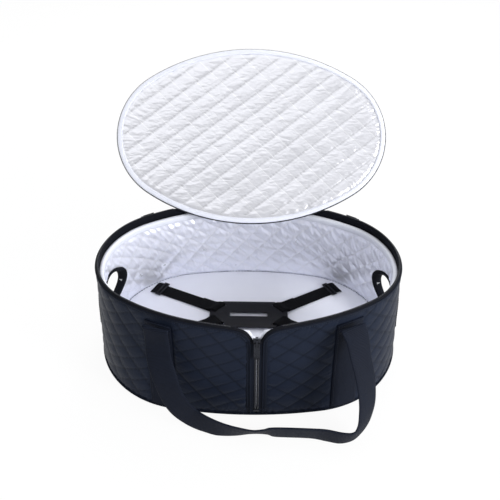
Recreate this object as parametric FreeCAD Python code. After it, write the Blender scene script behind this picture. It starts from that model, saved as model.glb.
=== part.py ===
import FreeCAD, Part
import math
import os

# Soft oval insulated carrier bag, standing open. Millimetres, +Z up.
# +X is the viewer's right when looking at the front zip, +Y goes to the rear.
# The origin is on the floor under the centre of the rim.

Vec = FreeCAD.Vector
Z_AXIS = Vec(0, 0, 1)
X_AXIS = Vec(1, 0, 0)

# Rim and base ovals, each made of four true arcs
RIM_HALF_LENGTH = 230.0
RIM_HALF_DEPTH = 152.5
RIM_END_RADIUS = 120.0
BASE_HALF_LENGTH = 240.0
BASE_HALF_DEPTH = 161.5
BASE_END_RADIUS = 155.0
BASE_SHIFT = -9.0
HEIGHT = 164.0

# Layers of the wall, counted inwards from its outer face
CLOTH = 1.5
FOAM = 5.0
WALL = CLOTH + FOAM + CLOTH
BASE_CLOTH_TOP = 1.5
BOARD_TOP = 3.5
BASE_FOAM_TOP = 9.0
FLOOR_TOP = 10.5

# Trim round the rim
COIL_HEIGHT = 2.2
COIL_WIDTH = 3.0
TAPE = 1.2
RIM_TAPE = 2.0
PAD_TOP = HEIGHT - 14.0
BINDING = 1.6
BINDING_DROP = 10.0
PIPING = 1.8

# Lid: modelled closed, then swung open to its rest pose
LID_GAP = 2.6
LID_LINING = 1.3
LID_FOAM = 6.0
LID_CLOTH = 1.3
LID_BINDING_WIDTH = 9.0
LID_OPEN = 132.6
HINGE_Y = 124.0
HINGE_Z = HEIGHT + 5.5
HINGE_HALF_WIDTH = 75.0
HINGE_TONGUE_RADIUS = 112.0
SCOOP_MARGIN = 5.0

# Openings in the ends for a pot's own handles
HOLE_HALF_LENGTH = 48.0
HOLE_HALF_HEIGHT = 32.0
HOLE_END_RADIUS = 22.0
HOLE_Y = 4.0
HOLE_Z = 75.0
HOLE_BINDING = 6.0

# Front zip
ZIP_X = 15.0
ZIP_GAP = 3.6
ZIP_TAPE_WIDTH = 12.0
ZIP_BOTTOM = 14.0
NOTCH_DEPTH = 24.0
NOTCH_HALF = 6.5
NOTCH_MIDDLE_HALF = 13.0
NOTCH_MIDDLE_DEPTH = 13.0
NOTCH_HEAD_HALF = 36.0
SLIDER_WIDTH = 10.0
SLIDER_LENGTH = 17.0
SLIDER_THICK = 2.0
SLIDER_STAND_OFF = 1.6
SLIDER_TOP = HEIGHT - 16.5
PULLER_LENGTH = 26.0
PULLER_SHARE = 0.85

# Webbing handles
WEBBING_WIDTH = 38.0
WEBBING_THICK = 2.4
STRAP_TOP = 147.0
FRONT_STRAP_XS = (-121.0, 143.0)
REAR_STRAP_XS = (-130.0, 130.0)
STRAP_BOTTOM = 6.4

# Pot harness
PLATE_Y = 19.5
PLATE_Z = 17.0
PLATE_THICK = 2.5
PLATE_HALF_LENGTH = 67.0
PLATE_HALF_DEPTH = 31.0
PLATE_CORNER = 22.0
PLATE_SLOT_LENGTH = 64.0
PLATE_SLOT_WIDTH = 9.5
ELASTIC_WIDTH = 25.0
ELASTIC_THICK = 1.8
REAR_ANCHORS = ((-165.0, 89.0), (152.0, 95.0))
FRONT_ANCHORS = ((-200.0, -60.0), (200.0, -60.0))
ANCHOR_Z = 13.0

# Lid zip sliders, outside the rim where its rear flank meets its end arcs
LID_SLIDER_WIDTH = 8.0
LID_SLIDER_LENGTH = 12.0
LID_SLIDER_THICK = 1.6
LID_PULLER_LENGTH = 18.0
LID_SLIDER_OUT = 2.6
LID_SLIDER_Z = HEIGHT - 5.0


def flank_centre(half_length, half_depth, end_radius):
    """Distance from an oval's middle to the centre of its long arcs."""
    end_x = half_length - end_radius
    drop = half_depth - end_radius
    return (end_x**2 - drop**2) / (2 * drop)


RIM_CENTRE_Y = flank_centre(RIM_HALF_LENGTH, RIM_HALF_DEPTH, RIM_END_RADIUS)
RIM_END_X = RIM_HALF_LENGTH - RIM_END_RADIUS


def oval_wire(half_length, half_depth, end_radius, inset=0.0, shift_y=0.0, z=0.0):
    """Closed wire of four tangent arcs, offset inwards by inset."""
    end_x = half_length - end_radius
    centre_y = flank_centre(half_length, half_depth, end_radius)
    flank = half_depth + centre_y - inset
    end = end_radius - inset
    lean = math.atan2(end_x, centre_y)
    joint_x = end_x + end * math.sin(lean)
    joint_y = end * math.cos(lean)

    def at(x, y):
        return Vec(x, y + shift_y, z)

    arcs = [
        Part.Arc(at(joint_x, -joint_y), at(end_x + end, 0), at(joint_x, joint_y)),
        Part.Arc(at(joint_x, joint_y), at(0, flank - centre_y), at(-joint_x, joint_y)),
        Part.Arc(at(-joint_x, joint_y), at(-end_x - end, 0), at(-joint_x, -joint_y)),
        Part.Arc(at(-joint_x, -joint_y), at(0, centre_y - flank), at(joint_x, -joint_y)),
    ]
    return Part.Wire([arc.toShape() for arc in arcs])


def rim_oval(inset, z=HEIGHT):
    return oval_wire(RIM_HALF_LENGTH, RIM_HALF_DEPTH, RIM_END_RADIUS, inset, 0.0, z)


def base_oval(inset, z=0.0):
    return oval_wire(BASE_HALF_LENGTH, BASE_HALF_DEPTH, BASE_END_RADIUS, inset, BASE_SHIFT, z)


def volume_inside(inset):
    """Everything inside the wall's outer face moved inwards by inset."""
    return Part.makeLoft([base_oval(inset), rim_oval(inset)], True, True)


def slab(z_low, z_high):
    box = Part.makeBox(800, 800, z_high - z_low)
    box.translate(Vec(-400, -400, z_low))
    return box


def ring(inset_out, inset_in, z_low, z_high):
    """The wall's layer between two insets, cut to a height range."""
    layer = volume_inside(inset_out).cut(volume_inside(inset_in))
    return layer.common(slab(z_low, z_high))


def disc(inset, z_low, z_high):
    return volume_inside(inset).common(slab(z_low, z_high))


def block(x_low, x_high, y_low, y_high, z_low, z_high):
    box = Part.makeBox(x_high - x_low, y_high - y_low, z_high - z_low)
    box.translate(Vec(x_low, y_low, z_low))
    return box


def prism_along_x(points_yz, half_width):
    corners = [Vec(-half_width, y, z) for y, z in points_yz]
    return Part.Face(Part.makePolygon(corners + corners[:1])).extrude(Vec(2 * half_width, 0, 0))


def front_y(z, x=0.0):
    """Y of the front wall's outer face at a height and an x on its flank."""
    share = z / HEIGHT

    def flank_y(half_length, half_depth, end_radius, shift):
        centre_y = flank_centre(half_length, half_depth, end_radius)
        radius = half_depth + centre_y
        return shift + centre_y - math.sqrt(radius**2 - x**2)

    low = flank_y(BASE_HALF_LENGTH, BASE_HALF_DEPTH, BASE_END_RADIUS, BASE_SHIFT)
    high = flank_y(RIM_HALF_LENGTH, RIM_HALF_DEPTH, RIM_END_RADIUS, 0.0)
    return low + (high - low) * share


def end_hole(side, grow):
    """Oval prism along X through one end of the bag."""
    wire = oval_wire(HOLE_HALF_LENGTH + grow, HOLE_HALF_HEIGHT + grow, HOLE_END_RADIUS + grow)
    prism = Part.Face(wire).extrude(Vec(0, 0, 120))
    prism.rotate(Vec(), Vec(1, 1, 1), 120)
    prism.translate(Vec(150 if side > 0 else -270, HOLE_Y, HOLE_Z))
    return prism


def rear_scoop():
    """Space that the lid's rear edge sweeps as it swings, a lemon about the hinge line."""
    radius = RIM_HALF_DEPTH + RIM_CENTRE_Y + SCOOP_MARGIN
    half_chord = math.sqrt(radius**2 - (HINGE_Y + RIM_CENTRE_Y) ** 2)
    ends = [Vec(-half_chord, HINGE_Y, HINGE_Z), Vec(half_chord, HINGE_Y, HINGE_Z)]
    crown = Vec(0, radius - RIM_CENTRE_Y, HINGE_Z)
    outline = Part.Wire([Part.Arc(ends[0], crown, ends[1]).toShape(), Part.makeLine(ends[1], ends[0])])
    return Part.Face(outline).revolve(Vec(0, HINGE_Y, HINGE_Z), X_AXIS, 360)


def front_notch():
    """Drop in the rim where the front zip opens, widening upwards on each side."""
    y = -250
    low = HEIGHT - NOTCH_DEPTH
    edges = [Part.makeLine(Vec(ZIP_X - NOTCH_HALF, y, low), Vec(ZIP_X + NOTCH_HALF, y, low))]
    tops = []
    for side in (1, -1):
        foot = Vec(ZIP_X + side * NOTCH_HALF, y, low)
        middle = Vec(ZIP_X + side * NOTCH_MIDDLE_HALF, y, HEIGHT - NOTCH_MIDDLE_DEPTH)
        head = Vec(ZIP_X + side * NOTCH_HEAD_HALF, y, HEIGHT)
        top = head + Vec(0, 0, 20)
        edges.append(Part.Arc(foot, middle, head).toShape())
        edges.append(Part.makeLine(head, top))
        tops.append(top)
    edges.append(Part.makeLine(*tops))
    outline = Part.Wire(Part.__sortEdges__(edges))
    return Part.Face(outline).extrude(Vec(0, 200, 0))


SCOOP = rear_scoop()
NOTCH = front_notch()
ZIP_SLOT = block(ZIP_X - ZIP_GAP / 2, ZIP_X + ZIP_GAP / 2, -250, -50, ZIP_BOTTOM - 4, HEIGHT + 10)


def wall_cuts(shape):
    """The holes, scoop, notch and zip slot that every wall layer has."""
    for side in (-1, 1):
        shape = shape.cut(end_hole(side, TAPE))
    for cutter in (SCOOP, NOTCH, ZIP_SLOT):
        shape = shape.cut(cutter)
    return shape


# Base stack
def base_nodes():
    return {
        "base_outer_panel": disc(0, 0, BASE_CLOTH_TOP),
        "base_board": disc(WALL, BASE_CLOTH_TOP, BOARD_TOP),
        "base_foam": disc(WALL, BOARD_TOP, BASE_FOAM_TOP),
        "floor_lining": disc(WALL, BASE_FOAM_TOP, FLOOR_TOP),
        "base_piping": ring(-PIPING, 0, 1.0, 6.0),
    }


# Wall layers, with the outer cloth and the foam in three panels
def wall_nodes():
    left = block(-400, ZIP_X, -400, BASE_SHIFT, -10, 300)
    right = block(ZIP_X, 400, -400, BASE_SHIFT, -10, 300)
    rear = block(-400, 400, BASE_SHIFT, 400, -10, 300)
    nodes = {}
    layers = (("panel", 0, CLOTH, HEIGHT), ("foam", CLOTH, CLOTH + FOAM, PAD_TOP))
    for name, inset_out, inset_in, top in layers:
        layer = wall_cuts(ring(inset_out, inset_in, BASE_CLOTH_TOP, top))
        nodes[f"front_{name}_left"] = layer.common(left)
        nodes[f"front_{name}_right"] = layer.common(right)
        nodes[f"rear_{name}"] = layer.common(rear)
    nodes["wall_lining"] = wall_cuts(ring(CLOTH + FOAM, WALL, BASE_CLOTH_TOP, PAD_TOP))
    return nodes


# Trim at the rim: the tape that stands above the padding, its coil, and outer piping.
# The white strip caps the padding's top edge and turns down over the lining.
def rim_nodes():
    cap = ring(CLOTH + RIM_TAPE, WALL + BINDING, PAD_TOP, PAD_TOP + BINDING)
    turned_down = ring(WALL, WALL + BINDING, PAD_TOP - BINDING_DROP, PAD_TOP)
    coil = Part.Face(rim_oval(0.5)).extrude(Vec(0, 0, COIL_HEIGHT))
    coil = coil.cut(Part.Face(rim_oval(0.5 + COIL_WIDTH)).extrude(Vec(0, 0, COIL_HEIGHT)))
    return {
        "rim_zip_tape": wall_cuts(ring(CLOTH, CLOTH + RIM_TAPE, PAD_TOP, HEIGHT)),
        "rim_binding": wall_cuts(cap.fuse(turned_down)),
        "rim_zip_coil": wall_cuts(coil),
        "rim_piping": wall_cuts(ring(-PIPING, 0, HEIGHT - 5.0, HEIGHT - 1.0)),
    }


# Bindings that wrap the edges of the two end holes
def hole_binding_nodes(wall_layers):
    nodes = {}
    for name, side in (("left_hole_binding", -1), ("right_hole_binding", 1)):
        band = end_hole(side, HOLE_BINDING).cut(end_hole(side, 0))
        wrap = band.common(ring(-TAPE, WALL + TAPE, 5, HEIGHT - 30))
        for layer in wall_layers:
            wrap = wrap.cut(layer)
        nodes[name] = wrap
    return nodes


# Front zip: a tape and a coil on each side, a stop, the slider and its puller
def front_zip_nodes():
    nodes = {}
    high = HEIGHT - NOTCH_DEPTH - 0.5
    for name, side in (("left", -1), ("right", 1)):
        near = ZIP_X + side * ZIP_GAP / 2
        far = near + side * ZIP_TAPE_WIDTH
        span = block(min(near, far), max(near, far), -250, -50, ZIP_BOTTOM, high)
        nodes["front_zip_tape_" + name] = ring(-0.8, 0, ZIP_BOTTOM, high).common(span)
        inner = ZIP_X + side * 0.1
        span = block(min(near, inner), max(near, inner), -250, -50, ZIP_BOTTOM, high)
        nodes["front_zip_coil_" + name] = ring(-1.2, 1.2, ZIP_BOTTOM, high).common(span)
    span = block(ZIP_X - 4, ZIP_X + 4, -250, -50, ZIP_BOTTOM - 4, ZIP_BOTTOM - 0.2)
    nodes["front_zip_stop"] = ring(-2.4, 0, ZIP_BOTTOM - 4, ZIP_BOTTOM - 0.2).common(span)
    return nodes


def slider_body(width, length, thick):
    """Top plate with a narrower tail and a bridge for the puller, lying on z = 0."""
    outline = [
        Vec(-width / 2, length / 2, 0),
        Vec(-width * 0.36, -length / 2, 0),
        Vec(width * 0.36, -length / 2, 0),
        Vec(width / 2, length / 2, 0),
    ]
    plate = Part.Face(Part.makePolygon(outline + outline[:1])).extrude(Vec(0, 0, thick))
    bridge = block(-1.2, 1.2, -length * 0.3, length * 0.35, thick, thick + 3.4)
    window = block(-2, 2, -length * 0.15, length * 0.2, thick, thick + 2.2)
    return plate.fuse(bridge.cut(window))


def puller_body(length, width, thick):
    """Flat pull with an eye at its top end, hanging along -Y from the origin."""
    blade = block(-width / 2, width / 2, -length, 0.7, -thick / 2, thick / 2)
    eye = block(-1.7, 1.7, -6.3, -0.7, -thick, thick)
    return blade.cut(eye)


def slider_and_puller(width, length, thick, pull_length):
    """A slider on z = 0 and its puller, whose bar lies on the bridge's window."""
    slider = slider_body(width, length, thick)
    puller = puller_body(pull_length, width * PULLER_SHARE, 1.1)
    puller.translate(Vec(0, 0.3, thick + 1.1))
    return slider, puller


def front_slider_nodes():
    lean = math.degrees(math.atan2(front_y(HEIGHT) - front_y(0), HEIGHT))
    centre_z = SLIDER_TOP - SLIDER_LENGTH / 2
    place = Vec(ZIP_X, front_y(centre_z) - SLIDER_STAND_OFF, centre_z)
    slider, puller = slider_and_puller(SLIDER_WIDTH, SLIDER_LENGTH, SLIDER_THICK, PULLER_LENGTH)
    for piece in (slider, puller):
        piece.rotate(Vec(), X_AXIS, 90 - lean)
        piece.translate(place)
    return {"front_zip_slider": slider, "front_zip_puller": puller}


# Two lid sliders outside the rim, each with its puller trailing to the rear
def lid_slider_nodes():
    joint_lean = math.degrees(math.atan2(RIM_END_X, RIM_CENTRE_Y))
    sizes = (LID_SLIDER_WIDTH, LID_SLIDER_LENGTH, LID_SLIDER_THICK, LID_PULLER_LENGTH)
    nodes = {}
    for name, side in (("left", -1), ("right", 1)):
        slider, puller = slider_and_puller(*sizes)
        for piece in (slider, puller):
            piece.rotate(Vec(), X_AXIS, 90)
            piece.rotate(Vec(), Vec(0, 1, 0), -side * 90)
            piece.translate(Vec(0, -RIM_END_RADIUS - LID_SLIDER_OUT, LID_SLIDER_Z))
            piece.rotate(Vec(), Z_AXIS, 180 - side * joint_lean)
            piece.translate(Vec(side * RIM_END_X, 0, 0))
        nodes["lid_slider_" + name] = slider
        nodes["lid_puller_" + name] = puller
    return nodes


# Webbing straps sewn flat to the wall
def strap_nodes():
    nodes = {}
    layer = ring(-WEBBING_THICK, 0, STRAP_BOTTOM, STRAP_TOP)
    rows = (("front", FRONT_STRAP_XS, -400, 0), ("rear", REAR_STRAP_XS, 0, 400))
    for row, xs, y_low, y_high in rows:
        for name, x in zip(("left", "right"), xs):
            half = WEBBING_WIDTH / 2
            span = block(x - half, x + half, y_low, y_high, 0, HEIGHT)
            nodes[f"{row}_strap_{name}"] = layer.common(span)
    return nodes


# Each station of a handle: centre, then the direction across the webbing
FRONT_HANDLE = [
    (Vec(-121, -142.5, 147), Vec(0.93, -0.36, 0)),
    (Vec(-120.5, -150, 124), Vec(0.94, -0.30, 0.10)),
    (Vec(-118, -161, 106), Vec(0.95, -0.20, 0.22)),
    (Vec(-113, -170, 92), Vec(0.95, -0.15, 0.27)),
    (Vec(-106, -180, 70), Vec(0.89, -0.15, 0.42)),
    (Vec(-94, -189, 45), Vec(0.74, -0.05, 0.66)),
    (Vec(-76, -194, 26), Vec(0.50, -0.02, 0.86)),
    (Vec(-53, -202, 20), Vec(0.34, -0.10, 0.93)),
    (Vec(-34, -208, 19.5), Vec(0.25, -0.17, 0.94)),
    (Vec(-12, -211, 19), Vec(0.10, -0.32, 0.94)),
    (Vec(10, -211, 18), Vec(0.0, -0.48, 0.87)),
    (Vec(28, -211, 19), Vec(-0.02, -0.44, 0.90)),
    (Vec(42, -212, 20), Vec(-0.03, -0.29, 0.95)),
    (Vec(90, -213, 20), Vec(-0.08, -0.27, 0.96)),
    (Vec(112, -216, 20.5), Vec(-0.05, -0.20, 0.97)),
    (Vec(131, -220, 21), Vec(-0.04, -0.22, 0.97)),
    (Vec(146, -219, 22), Vec(-0.12, -0.33, 0.93)),
    (Vec(156, -213, 26), Vec(-0.28, -0.44, 0.85)),
    (Vec(163, -206, 39), Vec(-0.48, -0.50, 0.72)),
    (Vec(165.5, -197, 61), Vec(-0.60, -0.40, 0.69)),
    (Vec(164, -188, 82), Vec(-0.70, -0.40, 0.60)),
    (Vec(160, -178, 102), Vec(-0.77, -0.40, 0.48)),
    (Vec(154, -163, 122), Vec(-0.82, -0.41, 0.38)),
    (Vec(150, -148, 137), Vec(-0.88, -0.40, 0.22)),
    (Vec(143, -135.5, 147), Vec(-0.91, -0.41, 0)),
]

REAR_HANDLE = [
    (Vec(-130, 137.5, 147), Vec(-0.90, -0.42, 0)),
    (Vec(-132, 150, 110), Vec(-0.94, -0.32, 0.03)),
    (Vec(-128, 164, 72), Vec(-0.97, -0.18, 0.10)),
    (Vec(-116, 177, 44), Vec(-0.88, -0.08, 0.42)),
    (Vec(-92, 187, 26), Vec(-0.55, 0.05, 0.83)),
    (Vec(-56, 192, 19), Vec(-0.20, 0.20, 0.95)),
    (Vec(0, 194, 19), Vec(0, 0.25, 0.96)),
    (Vec(56, 192, 19), Vec(0.20, 0.20, 0.95)),
    (Vec(92, 187, 26), Vec(0.55, 0.05, 0.83)),
    (Vec(116, 177, 44), Vec(0.88, -0.08, 0.42)),
    (Vec(128, 164, 72), Vec(0.97, -0.18, 0.10)),
    (Vec(132, 150, 110), Vec(0.94, -0.32, 0.03)),
    (Vec(130, 137.5, 147), Vec(0.90, -0.42, 0)),
]


def webbing(stations):
    """Ribbon of rectangular sections through the stations, ruled between them."""
    sections = []
    across_before = None
    for index, (centre, across) in enumerate(stations):
        before = stations[max(index - 1, 0)][0]
        after = stations[min(index + 1, len(stations) - 1)][0]
        along = (after - before).normalize()
        across = Vec(across)
        across = (across - along * across.dot(along)).normalize()
        if across_before is not None and across.dot(across_before) < 0:
            across = across * -1
        across_before = across
        half = across * (WEBBING_WIDTH / 2)
        lift = along.cross(across) * (WEBBING_THICK / 2)
        corners = [centre - half - lift, centre + half - lift, centre + half + lift, centre - half + lift]
        sections.append(Part.makePolygon(corners + corners[:1]))
    return Part.makeLoft(sections, True, True)


# Lid layers, modelled closed
def lid_nodes():
    low = HEIGHT + LID_GAP + 1.0
    foam_low = low + LID_LINING
    cloth_low = foam_low + LID_FOAM
    high = cloth_low + LID_CLOTH

    def plate(inset, z_low, z_high):
        return Part.Face(rim_oval(inset, z_low)).extrude(Vec(0, 0, z_high - z_low))

    def band(inset_out, inset_in, z_low, z_high):
        return plate(inset_out, z_low, z_high).cut(plate(inset_in, z_low, z_high))

    nodes = {
        "lid_lining": plate(1.5, low, foam_low),
        "lid_foam": plate(1.5, foam_low, cloth_low),
        "lid_outer_panel": plate(1.5, cloth_low, high),
        "lid_binding": band(1.0, LID_BINDING_WIDTH, HEIGHT + LID_GAP, low),
        "lid_zip_tape": band(0.3, 1.5, low, high),
        "lid_zip_coil": band(-1.3, 0.3, low, low + 2.0),
    }
    for shape in nodes.values():
        shape.rotate(Vec(0, HINGE_Y, HINGE_Z), X_AXIS, -LID_OPEN)
    return nodes


# Cloth tongue from the rear wall to just below the open lid's lower edge
def hinge_strip():
    front = 111.0
    profile = [(front, 141.5), (front, 140.0), (152, 125.0), (152, 126.5)]
    strip = prism_along_x(profile, HINGE_HALF_WIDTH).common(volume_inside(WALL + BINDING + 0.6))
    tongue = Part.makeCylinder(HINGE_TONGUE_RADIUS, 60, Vec(0, front + HINGE_TONGUE_RADIUS, 100))
    return strip.common(tongue)


# Pot harness on the floor
def harness_plate():
    x, y, cut = PLATE_HALF_LENGTH, PLATE_HALF_DEPTH, PLATE_CORNER
    corners = [
        (-x + cut, -y), (x - cut, -y), (x, -y + cut), (x, y - cut),
        (x - cut, y), (-x + cut, y), (-x, y - cut), (-x, -y + cut),
    ]
    points = [Vec(px, py, 0) for px, py in corners]
    plate = Part.Face(Part.makePolygon(points + points[:1])).extrude(Vec(0, 0, PLATE_THICK))
    half_slot = PLATE_SLOT_LENGTH / 2
    plate = plate.cut(block(-half_slot, half_slot, -PLATE_SLOT_WIDTH / 2, PLATE_SLOT_WIDTH / 2, -1, 4))
    for side_x in (-1, 1):
        for side_y in (-1, 1):
            slot = block(-ELASTIC_WIDTH / 2 - 1, ELASTIC_WIDTH / 2 + 1, -1.5, 1.5, -1, 4)
            slot.rotate(Vec(), Z_AXIS, -side_x * side_y * 45)
            slot.translate(Vec(side_x * (x - cut * 0.75), side_y * (y - cut * 0.75), 0))
            plate = plate.cut(slot)
    plate.translate(Vec(0, PLATE_Y, PLATE_Z))
    return plate


def harness_nodes():
    nodes = {"harness_plate": harness_plate()}
    rows = (("rear", REAR_ANCHORS, 1), ("front", FRONT_ANCHORS, -1))
    for row, anchors, side_y in rows:
        for name, side_x, anchor in zip(("left", "right"), (-1, 1), anchors):
            outer = Vec(*anchor, ANCHOR_Z)
            inner_x = side_x * (PLATE_HALF_LENGTH - PLATE_CORNER * 0.75)
            inner_y = PLATE_Y + side_y * (PLATE_HALF_DEPTH - PLATE_CORNER * 0.75)
            inner = Vec(inner_x, inner_y, PLATE_Z - 1.4)
            run = inner - outer
            turn = math.degrees(math.atan2(run.y, run.x))
            rise = math.degrees(math.atan2(run.z, math.hypot(run.x, run.y)))
            half = ELASTIC_WIDTH / 2
            strap = block(0, run.Length, -half, half, -ELASTIC_THICK / 2, ELASTIC_THICK / 2)
            tab = block(-11.0, -0.2, -half - 2, half + 2, -1.4, 1.4)
            frame = block(3, 13, -half - 4, half + 4, 1.1, 2.9)
            frame = frame.cut(block(6, 10, -half - 0.5, half + 0.5, 0, 5))
            for piece in (strap, tab, frame):
                piece.rotate(Vec(), Vec(0, 1, 0), -rise)
                piece.rotate(Vec(), Z_AXIS, turn)
                piece.translate(outer)
            nodes[f"elastic_{row}_{name}"] = strap
            nodes[f"anchor_{row}_{name}"] = tab.common(volume_inside(WALL + 0.2))
            if row == "rear":
                nodes["harness_ring_" + name] = frame
    return nodes


def build():
    nodes = base_nodes()
    walls = wall_nodes()
    nodes.update(walls)
    nodes.update(rim_nodes())
    nodes.update(hole_binding_nodes(list(walls.values())))
    nodes.update(front_zip_nodes())
    nodes.update(front_slider_nodes())
    nodes.update(lid_slider_nodes())
    nodes.update(strap_nodes())
    nodes["front_handle"] = webbing(FRONT_HANDLE)
    nodes["rear_handle"] = webbing(REAR_HANDLE)
    nodes.update(lid_nodes())
    nodes["lid_hinge_strip"] = hinge_strip()
    nodes.update(harness_nodes())
    return nodes


os.makedirs("parts", exist_ok=True)
for node, shape in build().items():
    print(f"{node:24s} solids {len(shape.Solids)} valid {shape.isValid()} {shape.Volume:9.0f} mm3")
    shape.exportStep(f"parts/{node}.step")
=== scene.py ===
"""Soft oval insulated carrier bag standing open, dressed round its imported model."""
import math

import bmesh
import bpy
import numpy as np
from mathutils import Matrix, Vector


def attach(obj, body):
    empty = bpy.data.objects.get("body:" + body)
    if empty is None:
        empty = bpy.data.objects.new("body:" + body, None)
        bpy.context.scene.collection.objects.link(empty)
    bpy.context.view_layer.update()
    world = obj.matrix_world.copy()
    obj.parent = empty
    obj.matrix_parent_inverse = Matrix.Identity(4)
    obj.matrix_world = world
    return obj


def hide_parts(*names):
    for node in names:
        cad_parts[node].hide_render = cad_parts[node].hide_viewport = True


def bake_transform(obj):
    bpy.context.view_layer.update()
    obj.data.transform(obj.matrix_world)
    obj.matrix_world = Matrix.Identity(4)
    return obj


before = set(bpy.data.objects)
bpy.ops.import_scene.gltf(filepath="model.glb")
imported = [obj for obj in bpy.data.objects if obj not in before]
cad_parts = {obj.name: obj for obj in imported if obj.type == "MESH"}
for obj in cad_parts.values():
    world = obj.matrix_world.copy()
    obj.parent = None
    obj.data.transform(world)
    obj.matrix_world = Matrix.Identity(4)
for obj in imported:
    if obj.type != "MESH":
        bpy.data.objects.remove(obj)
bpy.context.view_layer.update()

# Camera, in metres, radians and the photo's pixels
CAMERA_PLACE = (0.01587, -0.65987, 0.68678)
CAMERA_DIP = 0.661
CAMERA_TURN = 0.020
FOCAL_PIXELS = 551.6
FRAME_PIXELS = 500
SENSOR = 36

# Sizes in millimetres and the lid's angle in degrees, as in the part's source
MM = 0.001
HEIGHT = 164.0
BASE_SHIFT = -9.0
WALL = 8.0
PAD_TOP = HEIGHT - 14.0
HINGE_Y = 124.0
HINGE_Z = 169.5
LID_OPEN = 132.6
SCOOP_MARGIN = 5.0
ZIP_X = 15.0
ZIP_BOTTOM = 14.0
NOTCH_DEPTH = 24.0
NOTCH_HALF = 6.5
NOTCH_STEEP = (16.0, 7.0)
NOTCH_GENTLE = (8.0, 26.0)
HOLE_Y = 4.0
HOLE_Z = 75.0
LID_LOW = 167.6
LID_HIGH = 176.2
WEBBING_WIDTH = 38.0
WEBBING_THICK = 2.4
FRONT_STRAP_XS = (-121.0, 143.0)
REAR_STRAP_XS = (-130.0, 130.0)
STRAP_BOTTOM = 6.4
STRAP_TOP = 147.0
FLOOR_TOP = 10.5
PLATE_Y = 19.5

# Share of an oval's way round at which its front arc meets its end arc
FLAT_JOINT = 0.152


def camera():
    lens = bpy.data.cameras.new("camera")
    lens.sensor_width = SENSOR
    lens.lens = FOCAL_PIXELS / FRAME_PIXELS * SENSOR
    lens.clip_start = 0.01
    holder = bpy.data.objects.new("camera", lens)
    bpy.context.collection.objects.link(holder)
    holder.location = CAMERA_PLACE
    holder.rotation_euler = (math.pi / 2 - CAMERA_DIP, 0, CAMERA_TURN)
    bpy.context.scene.camera = holder


camera()


class Oval:
    """Closed outline of four tangent arcs, walked from the middle of its front towards +X."""

    def __init__(self, half_length, half_depth, end_radius, shift=0.0):
        self.end_x = half_length - end_radius
        drop = half_depth - end_radius
        self.centre_y = (self.end_x**2 - drop**2) / (2 * drop)
        self.flank = half_depth + self.centre_y
        self.end = end_radius
        self.shift = shift
        lean = math.atan2(self.end_x, self.centre_y)
        self.lean = lean
        self.stops = [0, FLAT_JOINT, 0.5 - FLAT_JOINT, 0.5 + FLAT_JOINT, 1 - FLAT_JOINT, 1]
        self.angles = [0, lean, math.pi - lean, math.pi + lean, 2 * math.pi - lean, 2 * math.pi]
        flank_run = self.flank * lean
        end_run = self.end * (math.pi - 2 * lean)
        self.runs = np.cumsum([0, flank_run, end_run, 2 * flank_run, end_run, flank_run])

    def at(self, share):
        """Points and outward normals at shares of the way round."""
        turns = np.floor(share)
        part = share - turns
        angle = np.interp(part, self.stops, self.angles)
        normal = np.stack([np.sin(angle), -np.cos(angle)], -1)
        right = (part > FLAT_JOINT) & (part < 0.5 - FLAT_JOINT)
        left = (part > 0.5 + FLAT_JOINT) & (part < 1 - FLAT_JOINT)
        rear = (part >= 0.5 - FLAT_JOINT) & (part <= 0.5 + FLAT_JOINT)
        centre_x = np.where(right, self.end_x, np.where(left, -self.end_x, 0.0))
        centre_y = np.where(right | left, 0.0, np.where(rear, -self.centre_y, self.centre_y))
        radius = np.where(right | left, self.end, self.flank)
        points = np.stack([centre_x, centre_y + self.shift], -1) + normal * radius[..., None]
        return points, normal

    def run(self, share):
        turns = np.floor(share)
        return np.interp(share - turns, self.stops, self.runs) + turns * self.runs[-1]

    def depth(self, x, y):
        """How far inside the outline a point is, with the outward normal there."""
        y = y - self.shift
        ax, ay = np.abs(x), np.abs(y)
        on_flank = np.arctan2(ax, ay + self.centre_y) < self.lean
        nx = np.where(on_flank, ax, ax - self.end_x)
        ny = np.where(on_flank, ay + self.centre_y, ay)
        reach = np.maximum(np.hypot(nx, ny), 1e-9)
        depth = np.where(on_flank, self.flank, self.end) - reach
        normal = np.stack([nx / reach * np.sign(x), ny / reach * np.sign(y)], -1)
        return depth, normal


RIM = Oval(230.0, 152.5, 120.0)
BASE = Oval(240.0, 161.5, 155.0, BASE_SHIFT)
HOLE = Oval(48.0, 32.0, 22.0)
UP = np.array([0, 0, 1.0])


def wall(share, z, off=0.0):
    """Point of the wall's outer face moved outwards by off."""
    share, z, off = np.broadcast_arrays(*(np.asarray(v, float) for v in (share, z, off)))
    low, low_normal = BASE.at(share)
    high, high_normal = RIM.at(share)
    rise = (z / HEIGHT)[..., None]
    flat = (low + low_normal * off[..., None]) * (1 - rise) + (high + high_normal * off[..., None]) * rise
    return np.concatenate([flat, z[..., None]], -1)


def wall_normal(share, z):
    return wall(share, z, 1.0) - wall(share, z, 0.0)


def wall_run(share, z):
    rise = z / HEIGHT
    return BASE.run(share) * (1 - rise) + RIM.run(share) * rise


def share_at(axis, value, z, off, guess):
    """Share of the way round at which the wall has a given x or y."""
    value, z, off = np.broadcast_arrays(*(np.asarray(v, float) for v in (value, z, off)))
    share = np.full(value.shape, float(guess))
    step = 1e-4
    for _ in range(8):
        here = wall(share, z, off)[..., axis]
        slope = (wall(share + step, z, off)[..., axis] - here) / step
        share = share - np.clip((here - value) / slope, -0.05, 0.05)
    return share


def flank_spot(x, z, off=0.0, rear=False):
    """Point at a given x and height on the front or rear of the wall."""
    share = share_at(0, x, z, off, 0.5 if rear else 0.0)
    return wall(share, z, off)


def end_spot(side, y, z, off=0.0):
    """Point at a given y and height on one end of the wall."""
    share = share_at(1, y, z, off, 0.25 if side > 0 else 0.75)
    return wall(share, z, off)


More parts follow.
